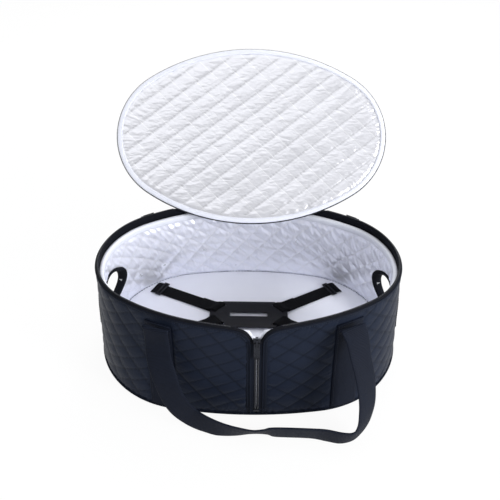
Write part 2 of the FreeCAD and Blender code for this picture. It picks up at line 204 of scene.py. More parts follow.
def notch_height(x):
    """Height of the front edge, which falls ever faster towards the zip."""
    away = np.maximum(np.abs(x - ZIP_X) - NOTCH_HALF, 0)
    return HEIGHT - sum(depth * np.exp(-away / reach) for depth, reach in (NOTCH_STEEP, NOTCH_GENTLE))


def edge_height(share, off=0.0):
    """Height of the wall's top edge: the rim, the notch in front and the scoop behind."""
    share = np.asarray(share, float)
    height = np.full(share.shape, HEIGHT)
    scoop_radius = RIM.flank + SCOOP_MARGIN
    for _ in range(6):
        x, y, _ = np.moveaxis(wall(share, height, off), -1, 0)
        reach = np.sqrt(np.maximum(scoop_radius**2 - x**2, 0)) - (HINGE_Y + RIM.centre_y)
        bite = reach**2 - (y - HINGE_Y) ** 2
        scooped = (y > 60) & (reach > 0) & (bite > 0)
        scoop = np.minimum(HEIGHT, HINGE_Z - np.sqrt(np.maximum(bite, 0)))
        height = np.where(scooped, scoop, np.where(y < 0, notch_height(x), HEIGHT))
    return height


def smooth(low, high, value):
    t = np.clip((value - low) / (high - low), 0, 1)
    return t * t * (3 - 2 * t)


def wobble(value, wavelength, seed):
    """Smooth seeded wave from -1 to 1 along a line."""
    draws = np.random.default_rng(seed)
    total = np.zeros_like(value)
    for _ in range(5):
        length = wavelength * draws.uniform(0.6, 1.7)
        total += np.sin(2 * np.pi * value / length + draws.uniform(0, 2 * np.pi))
    return total / 3


def new_piece(name, points, faces, values):
    """Mesh piece in metres from points in millimetres, with named values on its points."""
    mesh = bpy.data.meshes.new(name)
    mesh.from_pydata((np.asarray(points) * MM).tolist(), [], [list(map(int, f)) for f in faces])
    for key, data in values.items():
        data = np.asarray(data, np.float32)
        kind, field = ("FLOAT_VECTOR", "vector") if data.ndim == 2 else ("FLOAT", "value")
        mesh.attributes.new(key, kind, "POINT").data.foreach_set(field, data.ravel())
    tidy = bmesh.new()
    tidy.from_mesh(mesh)
    bmesh.ops.recalc_face_normals(tidy, faces=tidy.faces[:])
    tidy.to_mesh(mesh)
    tidy.free()
    mesh.shade_smooth()
    obj = bpy.data.objects.new(name, mesh)
    bpy.context.collection.objects.link(obj)
    return obj


def slab(name, face, back, keep, values):
    """Closed cloth between two matching grids of points, without the cells that keep leaves out."""
    rows, columns = face.shape[:2]
    count = rows * columns
    number = np.arange(count).reshape(rows, columns)
    corners = [number[:-1, :-1], number[1:, :-1], number[1:, 1:], number[:-1, 1:]]
    quads = np.stack(corners, -1)[keep]
    edges = np.concatenate([quads[:, [i, (i + 1) % 4]] for i in range(4)])
    border = edges[~np.isin(edges[:, 0] * count + edges[:, 1], edges[:, 1] * count + edges[:, 0])]
    sides = np.stack([border[:, 1], border[:, 0], border[:, 0] + count, border[:, 1] + count], -1)
    faces = np.concatenate([quads, quads[:, ::-1] + count, sides])
    used, faces = np.unique(faces, return_inverse=True)
    faces = faces.reshape(-1, 4)
    points = np.concatenate([face.reshape(-1, 3), back.reshape(-1, 3)])[used]
    still = {"soft", "ripple"}
    kept = {}
    for key, data in values.items():
        flat = data.reshape(count, -1) if data.ndim == 3 else data.reshape(count)
        kept[key] = np.concatenate([flat, flat * 0 if key in still else flat])[used]
    return new_piece(name, points, faces, kept)


def tube(name, rails, along, across, closed=False):
    """Skin over rails that run the piece's whole length, capped at its ends unless it is a loop.

    along and across give how far along and across the piece each point of it lies."""
    count, sides = len(rails[0]), len(rails)
    number = np.arange(count * sides).reshape(count, sides)
    ahead = np.roll(number, -1, 0) if closed else number[1:]
    here = number if closed else number[:-1]
    quads = np.stack([here, np.roll(here, -1, 1), np.roll(ahead, -1, 1), ahead], -1).reshape(-1, 4)
    faces = quads.tolist()
    if not closed:
        faces += [number[0].tolist(), number[-1].tolist()[::-1]]
    values = {"along": np.repeat(along, sides), "across": np.tile(across, count)}
    return new_piece(name, np.stack(rails, 1).reshape(-1, 3), faces, values)


# Node trees, for materials and for geometry
class Wire:
    """A socket in a node tree, so that a sum on it is written as a sum."""

    def __init__(self, tree, socket):
        self.tree, self.socket = tree, socket

    def math(self, operation, *others):
        return self.tree.add("ShaderNodeMath", {"operation": operation}, dict(enumerate(others)))

    def __add__(self, other): return self.math("ADD", self, other)
    def __radd__(self, other): return self.math("ADD", other, self)
    def __sub__(self, other): return self.math("SUBTRACT", self, other)
    def __rsub__(self, other): return self.math("SUBTRACT", other, self)
    def __mul__(self, other): return self.math("MULTIPLY", self, other)
    def __rmul__(self, other): return self.math("MULTIPLY", other, self)
    def __truediv__(self, other): return self.math("DIVIDE", self, other)
    def __pow__(self, other): return self.math("POWER", self, other)
    def __abs__(self): return self.math("ABSOLUTE", self)
    def sin(self): return self.math("SINE", self)


class Tree:
    def __init__(self, tree):
        self.tree = tree

    def add(self, kind, settings=None, sockets=None, out=0):
        """Any node: its settings first, then the values or links of its sockets."""
        made = self.tree.nodes.new(kind)
        for key, value in (settings or {}).items():
            if key == "stops":
                ramp = made.color_ramp.elements
                while len(ramp) < len(value):
                    ramp.new(0.5)
                for stop, (place, colour) in zip(ramp, value):
                    stop.position, stop.color = place, (*colour, 1)
            else:
                setattr(made, key, value)
        for key, value in (sockets or {}).items():
            if isinstance(value, Wire):
                self.tree.links.new(value.socket, made.inputs[key])
            else:
                made.inputs[key].default_value = value
        return Wire(self, made.outputs[out])

    def read(self, name):
        """A number stored on the points of a piece."""
        if self.tree.bl_idname == "GeometryNodeTree":
            return self.add("GeometryNodeInputNamedAttribute", {"data_type": "FLOAT"}, {"Name": name})
        return self.add("ShaderNodeAttribute", {"attribute_name": name}, out="Fac")

    def noise(self, size, detail=2.0, seed=0.0, place=None, rough=0.5):
        """Noise from 0 to 1 whose grain is size metres across."""
        sockets = {"Scale": 1 / size, "Detail": detail, "W": seed, "Roughness": rough}
        if place is not None:
            sockets["Vector"] = place
        return self.add("ShaderNodeTexNoise", {"noise_dimensions": "4D"}, sockets)

    def blend(self, share, low, high):
        """Colour between two colours."""
        return self.add("ShaderNodeMix", {"data_type": "RGBA"}, {0: share, 6: low, 7: high}, out=2)


def colour(red, green, blue):
    """Linear colour from the usual 0 to 255 numbers."""
    parts = []
    for value in (red, green, blue):
        value = value / 255
        parts.append(value / 12.92 if value <= 0.04045 else ((value + 0.055) / 1.055) ** 2.4)
    return (*parts, 1)


def finish_of(name, steady, varied):
    """Material whose steady numbers sit on the shader and whose varied ones come from nodes."""
    made = bpy.data.materials.new(name)
    made.use_nodes = True
    shader = made.node_tree.nodes["Principled BSDF"]
    for key, value in steady.items():
        shader.inputs[key].default_value = value
    tree = Tree(made.node_tree)
    place = tree.add("ShaderNodeTexCoord", out="Object")
    for key, value in varied(tree, place).items():
        made.node_tree.links.new(value.socket, shader.inputs[key])
    return made


def bump(tree, height, strength, reach):
    return tree.add("ShaderNodeBump", None, {"Strength": strength, "Distance": reach * MM, "Height": height})


def quilt_lines(run, rise, lines):
    """Phase across each of the two families of stitch lines, whole on every line."""
    rising, falling = lines
    return run / rising[0] + rise / rising[1], run / falling[0] - rise / falling[1]


def thread_dashes(tree, lines, pitch, thick, shut=-0.3):
    """1 on the quilting stitches of each family, 0 elsewhere, from the cloth's own run and rise."""
    phases = quilt_lines(tree.read("run"), tree.read("rise"), lines)
    dashes = []
    for line, along, (width, height) in zip(phases, phases[::-1], lines):
        near = abs((line * math.pi).sin())
        on_line = near.math("LESS_THAN", near, thick)
        dash = (along * (math.pi * math.hypot(width, height) / pitch)).sin()
        dashes.append(on_line * dash.math("GREATER_THAN", dash, shut))
    return dashes


def weave(first, second, pitch):
    """Plain weave from two running lengths in millimetres."""
    turn = 2 * math.pi / pitch
    return (first * turn).sin() * (second * turn).sin()


def scaled(tone, factor):
    return tuple(part * factor for part in tone[:3]) + (1,)


def quilted_cloth(name, dark, light, lines):
    def varied(tree, place):
        grain = tree.noise(0.05, 3, 1.0, place)
        cloth = weave(tree.read("run"), tree.read("rise"), 0.9)
        tone = tree.blend(grain, dark, light)
        # Painted shade: the cloth's colour is darkened almost to a quarter of its dark tone along the quilting
        # grooves
        tone = tree.blend(tree.read("groove") * 0.9, tone, scaled(dark, 0.25))
        first, second = thread_dashes(tree, lines, 3.0, 0.03)
        tone = tree.blend((first + second) * 0.2, tone, scaled(light, 1.4))
        crease = tree.noise(0.005, 3, 4.0, place, 0.6)
        relief = bump(tree, cloth * 0.08 + crease, 0.5, 0.5)
        return {"Base Color": tone, "Roughness": 0.38 + grain * 0.12, "Normal": relief}
    return finish_of(name, {"Specular IOR Level": 0.08, "Specular Tint": (0.7, 0.8, 1, 1)}, varied)


def foil(name, lines, tint, metal, rough, groove_shade_depth, crinkle, stretch, thread):
    def varied(tree, place):
        grain = tree.noise(0.02, 2, 2.0, place)
        base = tree.blend(grain, scaled(tint, 0.94), tint)
        # Painted shade: the foil's colour is darkened along the quilting grooves, where shade would fall
        base = tree.blend(tree.read("groove") * groove_shade_depth, base, scaled(tint, 0.4))
        first, second = thread_dashes(tree, lines, 3.2, 0.055, -0.8)
        base = tree.blend(first * thread[0] + second * thread[1], base, (0.95, 0.96, 0.99, 1))
        run, rise = tree.read("run") * (stretch[0] * MM), tree.read("rise") * (stretch[1] * MM)
        flat = tree.add("ShaderNodeCombineXYZ", None, {0: run, 1: rise})
        wide = tree.noise(0.012, 2, 7.0, flat, 0.5)
        fold = abs(wide * 2 - 1)
        fine = tree.noise(0.005, 1, 9.0, place)
        relief = bump(tree, fold + fine * 0.1, 0.8, crinkle)
        return {"Base Color": base, "Roughness": rough + grain * 0.12, "Normal": relief}
    return finish_of(name, {"Metallic": metal, "Specular IOR Level": 0.5}, varied)


def ribbed(name, base, light, pitch, rough, sheen=0.0, specular=0.06):
    """Woven strap whose ribs cross it, read from the strap's own length and width."""
    def varied(tree, place):
        length, width = tree.read("along"), tree.read("across")
        turn = 2 * math.pi / pitch
        rib = (length * turn).sin() * 0.5 + 0.5
        cord = (width * (2 * math.pi / 1.1)).sin() * 0.5 + 0.5
        grain = tree.noise(0.012, 3, 3.0, place)
        tone = tree.blend(rib * 0.55 + grain * 0.45, base, light)
        relief = bump(tree, rib + cord * 0.5 + grain * 0.3, 0.6, 0.35)
        return {"Base Color": tone, "Roughness": rough + grain * 0.12, "Normal": relief}
    steady = {"Sheen Weight": sheen, "Sheen Roughness": 0.5, "Specular IOR Level": specular}
    return finish_of(name, steady, varied)


def plain_cloth(name, base, light, rough, grain_size=0.0011, relief_depth=0.25):
    def varied(tree, place):
        grain = tree.noise(0.03, 3, 5.0, place)
        thread = tree.noise(grain_size, 1, 6.0, place)
        tone = tree.blend(grain * 0.6 + thread * 0.4, base, light)
        relief = bump(tree, thread, 0.5, relief_depth)
        return {"Base Color": tone, "Roughness": rough + grain * 0.12, "Normal": relief}
    return finish_of(name, {"Specular IOR Level": 0.2}, varied)


def hard(name, base, light, rough, metal=0.0, grain_size=0.004, specular=0.25):
    """Moulded plastic or plated metal with faint unevenness and rubbed spots."""
    def varied(tree, place):
        grain = tree.noise(grain_size, 3, 8.0, place)
        wear = tree.noise(0.0012, 2, 9.0, place)
        tone = tree.blend(grain, base, light)
        relief = bump(tree, grain + wear * 0.5, 0.35, 0.12)
        return {"Base Color": tone, "Roughness": rough + wear * 0.16, "Normal": relief}
    return finish_of(name, {"Metallic": metal, "Specular IOR Level": specular}, varied)


OUTER_LINES = ((40.0, 27.0), (40.0, 27.0))
WALL_LINES = ((39.0, 33.0), (39.0, 33.0))
LID_LINES = ((43.0, 33.0), (42.0, 41.0))
NAVY = colour(20, 25, 37)
NAVY_LIGHT = colour(27, 33, 47)
BLACK = colour(12, 13, 18)
BLACK_LIGHT = colour(22, 24, 31)

outer_cloth = quilted_cloth("outer_cloth", NAVY, NAVY_LIGHT, OUTER_LINES)
wall_foil = foil(
    "wall_foil", WALL_LINES, colour(240, 242, 252), metal=0.5, rough=0.24,
    groove_shade_depth=0.2, crinkle=1.5, stretch=(1.0, 0.3), thread=(0.9, 0.9),
)
lid_foil = foil(
    "lid_foil", LID_LINES, colour(233, 234, 241), metal=0.75, rough=0.26,
    groove_shade_depth=0.6, crinkle=1.6, stretch=(0.5, 1.0), thread=(0.3, 0.85),
)
floor_cloth = plain_cloth("floor_cloth", colour(229, 231, 243), colour(238, 240, 250), 0.5)
base_cloth = plain_cloth("base_cloth", BLACK, BLACK_LIGHT, 0.6)
white_strip = ribbed("white_strip", colour(203, 206, 217), colour(224, 227, 238), 1.3, 0.45, sheen=0.1, specular=0.3)
black_strip = ribbed("black_strip", BLACK, BLACK_LIGHT, 1.1, 0.6)
navy_strip = ribbed("navy_strip", colour(15, 19, 28), NAVY, 1.2, 0.5)
strap_weave = ribbed("strap_weave", colour(12, 15, 23), colour(25, 30, 43), 1.9, 0.55)
elastic_weave = ribbed("elastic_weave", colour(8, 8, 10), colour(18, 19, 23), 1.4, 0.6)
coil_nylon = hard("coil_nylon", colour(18, 20, 26), colour(34, 37, 45), rough=0.3, specular=0.5)
zip_metal = hard("zip_metal", colour(30, 32, 37), colour(56, 58, 65), rough=0.2, metal=0.85)
harness_plastic = hard(
    "harness_plastic", colour(13, 14, 20), colour(21, 22, 30), rough=0.45, grain_size=0.01, specular=0.2
)
dark_thread = plain_cloth("dark_thread", colour(22, 26, 36), colour(36, 41, 54), 0.6, 0.0006)
pale_thread = plain_cloth("pale_thread", colour(190, 193, 203), colour(226, 228, 235), 0.55, 0.0006)
foam_pad = plain_cloth("foam_pad", colour(150, 152, 156), colour(178, 180, 184), 0.9, 0.0016, 0.4)
board_fibre = plain_cloth("board_fibre", colour(92, 86, 78), colour(120, 112, 102), 0.85, 0.0018)


def dress(obj, body, material, stands_for=()):
    """Gives a finished piece its material and its body, and hides the model's nodes that it replaces."""
    obj.data.materials.clear()
    obj.data.materials.append(material)
    obj.data.polygons.foreach_set("material_index", [0] * len(obj.data.polygons))
    if stands_for:
        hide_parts(*stands_for)
    if body:
        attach(obj, body)
    return obj


# Geometry trees
def geometry_tree(name, floats, whole=()):
    """Empty tree with an input for a mesh, for each named number and for the material."""
    inputs = [(label, "Float") for label in floats] + [(label, "Int") for label in whole]
    inputs.append(("Finish", "Material"))
    made = bpy.data.node_groups.new(name, "GeometryNodeTree")
    made.interface.new_socket("Geometry", in_out="INPUT", socket_type="NodeSocketGeometry")
    for label, kind in inputs:
        made.interface.new_socket(label, in_out="INPUT", socket_type="NodeSocket" + kind)
    made.interface.new_socket("Geometry", in_out="OUTPUT", socket_type="NodeSocketGeometry")
    tree = Tree(made)
    start = made.nodes.new("NodeGroupInput")
    sockets = {label: Wire(tree, start.outputs[label]) for label, _ in inputs}
    sockets["Geometry"] = Wire(tree, start.outputs["Geometry"])
    return tree, sockets


def end_tree(tree, geometry, finish):
    real = tree.add("GeometryNodeRealizeInstances", None, {"Geometry": geometry})
    done = tree.add("GeometryNodeSetMaterial", None, {"Geometry": real, "Material": finish})
    end = tree.tree.nodes.new("NodeGroupOutput")
    tree.tree.links.new(done.socket, end.inputs["Geometry"])
    return tree.tree


def grown(obj, tree, values):
    """Runs a geometry tree on a piece and leaves the result as its plain mesh."""
    run = obj.modifiers.new("shape", "NODES")
    run.node_group = tree
    for item in tree.interface.items_tree:
        if item.in_out == "INPUT" and item.name in values:
            run[item.identifier] = values[item.name]
    obj.update_tag()
    bpy.context.view_layer.update()
    seen = obj.evaluated_get(bpy.context.evaluated_depsgraph_get())
    made = bpy.data.meshes.new_from_object(seen)
    obj.modifiers.remove(run)
    old = obj.data
    made.name = old.name
    obj.data = made
    bpy.data.meshes.remove(old)
    return obj


def quilting_tree():
    """Puffs a cloth between two families of slanting stitch lines, and gathers it where it is sewn."""
    labels = (
        "Rising Width", "Rising Height", "Falling Width", "Falling Height", "Falling Depth",
        "Puff", "Sharpness", "Crinkle", "Gather", "Seed",
    )
    tree, given = geometry_tree("quilting", labels)
    run, rise = tree.read("run"), tree.read("rise")
    soft, ripple = tree.read("soft"), tree.read("ripple")
    place = tree.add("ShaderNodeCombineXYZ", None, {0: run * MM, 1: rise * MM})
    seed = given["Seed"]
    lines = (given["Rising Width"], given["Rising Height"]), (given["Falling Width"], given["Falling Height"])
    one, two = quilt_lines(run, rise, lines)
    one = one + (tree.noise(0.09, 1, seed, place) - 0.5) * 0.1
    two = two + (tree.noise(0.08, 1, seed + 5.0, place) - 0.5) * 0.1
    near_one = abs((one * math.pi).sin())
    near_two = abs((two * math.pi).sin())
    shallow = near_two * given["Falling Depth"] + (1 - given["Falling Depth"])
    pillow = (near_one * shallow) ** given["Sharpness"]
    uneven = 0.75 + tree.noise(0.04, 1, seed + 9.0, place) * 0.5
    tug = tree.noise(0.012, 2, seed + 3.0, place)
    pucker_one = (two * (2 * math.pi * 5) + tug * 9).sin() * (1 - near_one) ** 3
    pucker_two = (one * (2 * math.pi * 5) + tug * 9).sin() * (1 - near_two) ** 3 * given["Falling Depth"]
    ridge = 1 - abs(tree.noise(0.016, 2, seed + 7.0, place) * 2 - 1)
    crinkle = (pucker_one + pucker_two + ridge * pillow * 1.6) * given["Crinkle"]
    gather = ripple * given["Gather"] * (0.25 + 0.75 * pillow)
    lift = (given["Puff"] * pillow * uneven + crinkle) * soft + gather
    outward = tree.add("GeometryNodeInputNamedAttribute", {"data_type": "FLOAT_VECTOR"}, {"Name": "outward"})
    offset = tree.add("ShaderNodeVectorMath", {"operation": "SCALE"}, {0: outward, "Scale": lift * MM})
    moved = tree.add("GeometryNodeSetPosition", None, {"Geometry": given["Geometry"], "Offset": offset})
    # Stores how near each point lies to a stitch line; the materials darken their colour with it as painted shade in
    # the grooves
    near_line = (1 - near_one).math("MAXIMUM", 1 - near_one, (1 - near_two) * given["Falling Depth"])
    marked = tree.add(
        "GeometryNodeStoreNamedAttribute",
        {"data_type": "FLOAT", "domain": "POINT"},
        {"Geometry": moved, "Name": "groove", "Value": near_line ** 9 * soft},
    )
    return end_tree(tree, marked, given["Finish"])


def beads_tree():
    """Sets small rounded beads along a line: stitches and zip coil turns."""
    tree, given = geometry_tree("beads", ("Pitch", "Length", "Width", "Height"))
    line = tree.add("GeometryNodeMeshToCurve", None, {"Mesh": given["Geometry"]})
    spaced = tree.add("GeometryNodeResampleCurve", {"mode": "LENGTH"}, {"Curve": line, "Length": given["Pitch"]})
    along = tree.add("GeometryNodeInputTangent")
    outward = tree.add("GeometryNodeInputNamedAttribute", {"data_type": "FLOAT_VECTOR"}, {"Name": "outward"})
    turned = tree.add("FunctionNodeAlignRotationToVector", {"axis": "X"}, {"Vector": along})
    turned = tree.add(
        "FunctionNodeAlignRotationToVector",
        {"axis": "Z", "pivot_axis": "X"},
        {"Rotation": turned, "Vector": outward},
    )
    bead = tree.add("GeometryNodeMeshIcoSphere", None, {"Radius": 0.5, "Subdivisions": 1})
    bead = tree.add("GeometryNodeSetShadeSmooth", None, {"Geometry": bead})
    size = tree.add("ShaderNodeCombineXYZ", None, {0: given["Length"], 1: given["Width"], 2: given["Height"]})
    placed = tree.add(
        "GeometryNodeInstanceOnPoints",
        None,
        {"Points": spaced, "Instance": bead, "Rotation": turned, "Scale": size},
    )
    return end_tree(tree, placed, given["Finish"])


def cording_tree():
    """A round cord along a line: pipings."""
    tree, given = geometry_tree("cording", ("Radius",), ("Sides",))
    line = tree.add("GeometryNodeMeshToCurve", None, {"Mesh": given["Geometry"]})
    size = {"Resolution": given["Sides"], "Radius": given["Radius"]}
    ring = tree.add("GeometryNodeCurvePrimitiveCircle", None, size)
    cord = tree.add("GeometryNodeCurveToMesh", None, {"Curve": line, "Profile Curve": ring, "Fill Caps": True})
    cord = tree.add("GeometryNodeSetShadeSmooth", None, {"Geometry": cord})
    return end_tree(tree, cord, given["Finish"])


QUILTING = quilting_tree()
BEADS = beads_tree()
CORDING = cording_tree()


def lines_piece(name, lines):
    """Edges-only mesh from (points, outward, closed) lines in millimetres."""
    points, outward, edges = [], [], []
    for spots, normals, closed in lines:
        start = len(points)
        points += (np.asarray(spots) * MM).tolist()
        outward += np.broadcast_to(normals, np.shape(spots)).tolist()
        last = len(points)
        edges += [(i, i + 1) for i in range(start, last - 1)]
        if closed:
            edges.append((last - 1, start))
    mesh = bpy.data.meshes.new(name)
    mesh.from_pydata(points, edges, [])
    data = np.asarray(outward, np.float32).ravel()
    mesh.attributes.new("outward", "FLOAT_VECTOR", "POINT").data.foreach_set("vector", data)
    obj = bpy.data.objects.new(name, mesh)
    bpy.context.collection.objects.link(obj)
    return obj


STITCH = {"pitch": 3.4, "length": 2.6, "width": 0.75, "height": 0.7}
CORD_SIDES = 10


def beads(name, lines, material, pitch, length, width, height):
    obj = lines_piece(name, lines)
    sizes = {"Pitch": pitch * MM, "Length": length * MM, "Width": width * MM, "Height": height * MM}
    return grown(obj, BEADS, {**sizes, "Finish": material})


def sew(name, rows, body, thread):
    """Stitches on rows of (points, outward, closed), as a piece of its own."""
    dress(beads(name, rows, thread, **STITCH), body, thread)


def cording(name, lines, radius, material):
    sizes = {"Radius": radius * MM, "Sides": CORD_SIDES}
    return grown(lines_piece(name, lines), CORDING, {**sizes, "Finish": material})


def quilt(obj, lines, material, puff, crinkle, seed, sharpness, falling=1.0):
    sizes = {}
    for family, (width, height) in zip(("Rising", "Falling"), lines):
        sizes[family + " Width"], sizes[family + " Height"] = width, height
    sizes.update({"Falling Depth": falling, "Puff": puff, "Sharpness": sharpness, "Crinkle": crinkle})
    return grown(obj, QUILTING, {**sizes, "Gather": 1.0, "Seed": seed, "Finish": material})


# Wall cloths: half the front zip's gap, the width of the trim beside it, the foam's gap in zip gaps,
# the y of the side seams, and a distance too long to matter
ZIP_EDGE = 1.8
ZIP_TRIM = 12.5
FOAM_ZIP_SIDE = 1.3
SIDE_SEAM = -12.0
FAR = 500.0
END_HOLE_REGION = 120


def zip_edge(side):
    """The cloth's upright edge beside the front zip, as the share of the way round at a height."""
    return lambda z, off: share_at(0, ZIP_X + side * ZIP_EDGE, z, off, 0.0) + (side < 0)


def side_seam(side):
    return lambda z, off: share_at(1, SIDE_SEAM, z, off, 0.25 if side > 0 else 0.75)


def wall_spans(kind, zip_side=1.0):
    """Name, two upright edges and zipped edge of each of the three pieces that go round the wall."""
    return (
        (f"front_{kind}_right", zip_edge(zip_side), side_seam(1), "start"),
        (f"rear_{kind}", side_seam(1), side_seam(-1), None),
        (f"front_{kind}_left", side_seam(-1), zip_edge(-zip_side), "end"),
    )


def hole_distance(points):
    """How far a point is outside the nearer end hole, seen along X."""
    depth, _ = HOLE.depth(points[..., 1] - HOLE_Y, points[..., 2] - HOLE_Z)
    return np.where(np.abs(points[..., 0]) > END_HOLE_REGION, -depth, FAR)


def wall_cloth(start, end, off, back_off, low, ceiling, pitch):
    """Cloth over part of the wall, with its run, rise and softness on its points.

    start and end give the share of the way round at its two upright edges."""
    length = float(wall_run(end(HEIGHT / 2, off), HEIGHT / 2) - wall_run(start(HEIGHT / 2, off), HEIGHT / 2))
    columns = int(length / pitch) + 1
    rows = int((ceiling - low) / pitch) + 1
    up = np.linspace(0, 1, rows)
    nominal = low + up * (ceiling - low)
    first, last = start(nominal, off), end(nominal, off)
    way = np.linspace(0, 1, columns)[:, None]
    share = first[None] + (last - first)[None] * way
    top = np.minimum(edge_height(share, off), ceiling)
    back_top = np.minimum(edge_height(share, back_off), ceiling)
    z = low + (top - low) * up
    back_z = low + (back_top - low) * up
    face, back = wall(share, z, off), wall(share, back_z, back_off)
    middle = (face[:-1, :-1] + face[1:, 1:]) / 2
    keep = hole_distance(middle) > 2.2
    run = wall_run(share, z)
    from_start, to_end = run - run[:1], run[-1:] - run
    values = {"run": run, "rise": z, "outward": wall_normal(share, z) * np.sign(off - back_off)}
    return face, back, keep, values, {"start": from_start, "end": to_end, "top": top - z}


def ripples(values, gaps, seed, seams, reach, size, pitch):
    """Short gathers that run away from the sewn edges."""
    total = np.zeros_like(values["run"])
    for index, seam in enumerate(seams):
        gap = gaps[seam]
        line = values["run"] if seam in ("top", "bottom") else values["rise"]
        wave = wobble(line + gap * 0.25, pitch, seed + index)
        total += wave * np.exp(-gap / reach) * smooth(0, 2.0, gap)
    return total * size


def strap_distance(points):
    """How far a point of the wall is past the nearest sewn strap's edge, below 0 under the strap."""
    away = []
    for xs, front in ((FRONT_STRAP_XS, True), (REAR_STRAP_XS, False)):
        other_side = FAR * ((points[..., 1] < 0) != front)
        away += [np.abs(points[..., 0] - x) - WEBBING_WIDTH / 2 + other_side for x in xs]
    return np.minimum.reduce(away)


def outer_panels():
    for index, (name, start, end, zipped) in enumerate(wall_spans("panel")):
        face, back, keep, values, gaps = wall_cloth(
            start, end, off=0.0, back_off=-1.4, low=1.5, ceiling=HEIGHT, pitch=2.0
        )
        gaps["bottom"] = np.maximum(values["rise"] - 4.0, 0)
        strap = strap_distance(face)
        gaps["strap"] = np.abs(strap)
        press = smooth(-2.0, 5.0, strap)
        soft = smooth(0, 5, gaps["top"] - 4.5) * smooth(0, 6, gaps["bottom"] - 1)
        soft *= smooth(0, 4, hole_distance(face) - 4) * press
        seams = ["top", "bottom"]
        if zipped:
            soft *= smooth(0, 5, gaps[zipped] - ZIP_TRIM)
            gaps["zip"] = np.maximum(gaps[zipped] - ZIP_TRIM, 0)
            seams.append("zip")
        seams.append("strap")
        values["soft"] = soft
        gathers = ripples(values, gaps, 20 + index, seams, reach=9.0, size=0.85, pitch=8.0)
        values["ripple"] = gathers * np.minimum(press + 0.1, 1)
        obj = slab(name, face, back, keep, values)
        quilt(obj, OUTER_LINES, outer_cloth, puff=1.35, crinkle=0.14, seed=11.0 + index, sharpness=0.3)
        dress(obj, "bag", outer_cloth, [name])


def wall_lining():
    face, back, keep, values, gaps = wall_cloth(
        zip_edge(1), zip_edge(-1), off=-WALL, back_off=-6.6, low=9.4, ceiling=PAD_TOP, pitch=1.9
    )
    gaps["top"] = np.maximum(gaps["top"] - 9.5, 0)
    gaps["bottom"] = np.maximum(values["rise"] - FLOOR_TOP, 0)
    holes = smooth(0, 5, hole_distance(face) - 5)
    values["soft"] = (
        smooth(0, 9, gaps["top"]) * smooth(0, 5, gaps["bottom"] - 0.5) * holes
        * smooth(0, 6, gaps["start"] - 7) * smooth(0, 6, gaps["end"] - 7)
    )
    sewn = ripples(values, gaps, 40, ["top"], reach=60.0, size=1.1, pitch=9.0)
    sewn += ripples(values, gaps, 44, ["bottom"], reach=16.0, size=0.7, pitch=8.0)
    away = smooth(20, 190, np.abs(face[..., 0]))
    values["ripple"] = sewn * (0.15 + 0.85 * holes) * (0.45 + 0.75 * away)
    obj = slab("wall_lining", face, back, keep, values)
    quilt(obj, WALL_LINES, wall_foil, puff=2.3, crinkle=0.25, seed=31.0, sharpness=0.45)
    dress(obj, "bag", wall_foil, ["wall_lining"])


def wall_foam():
    for name, start, end, _ in wall_spans("foam", FOAM_ZIP_SIDE):
        face, back, keep, values, _ = wall_cloth(
            start, end, off=-1.6, back_off=-6.4, low=1.6, ceiling=PAD_TOP, pitch=5.0
        )
        keep &= hole_distance((face[:-1, :-1] + face[1:, 1:]) / 2) > 3.4
        for grid in (face, back):
            grid[:, -1, 2] -= 0.3
        obj = slab(name, face, back, keep, {"run": values["run"], "rise": values["rise"]})
        dress(obj, "bag", foam_pad, [name])


outer_panels()
wall_lining()
wall_foam()


# Strips that follow the wall's top edge
def rim_path(spacing=2.0):
    """Shares along the whole top edge, from one side of the front zip to the other, closer at the notch."""
    begin, finish = (float(zip_edge(side)(HEIGHT - NOTCH_DEPTH, 0.0)) for side in (1, -1))
    share = np.linspace(begin, finish, 6000)
    spot = np.stack([wall_run(share, HEIGHT), edge_height(share)], -1)
    step = np.concatenate([[0], np.cumsum(np.linalg.norm(np.diff(spot, axis=0), axis=1))])
    count = int(step[-1] / spacing) + 1
    return np.interp(np.linspace(0, step[-1], count), step, share)


def edge_strip(name, share, section, top=None):
    """Strip along the top edge or a lower top; section lists (depth below it, offset) round its outline."""
    run = wall_run(share, HEIGHT)
    height = edge_height(share)
    slope = np.gradient(height) / np.maximum(np.abs(np.gradient(run)), 1e-6)
    slope = np.clip(slope, -6, 6)
    up_z = 1 / np.sqrt(1 + slope**2)
    up_run = -slope * up_z
    speed = (wall_run(share + 1e-4, HEIGHT) - run) / 1e-4
    rails = []
    for depth, off in section:
        edge = edge_height(share, off) if top is None else top
        rails.append(wall(share - depth * up_run / speed, edge - depth * up_z, off))
    length = np.concatenate([[0], np.cumsum(np.hypot(np.diff(run), np.diff(height)))])
    return tube(name, rails, length, [depth + off for depth, off in section])


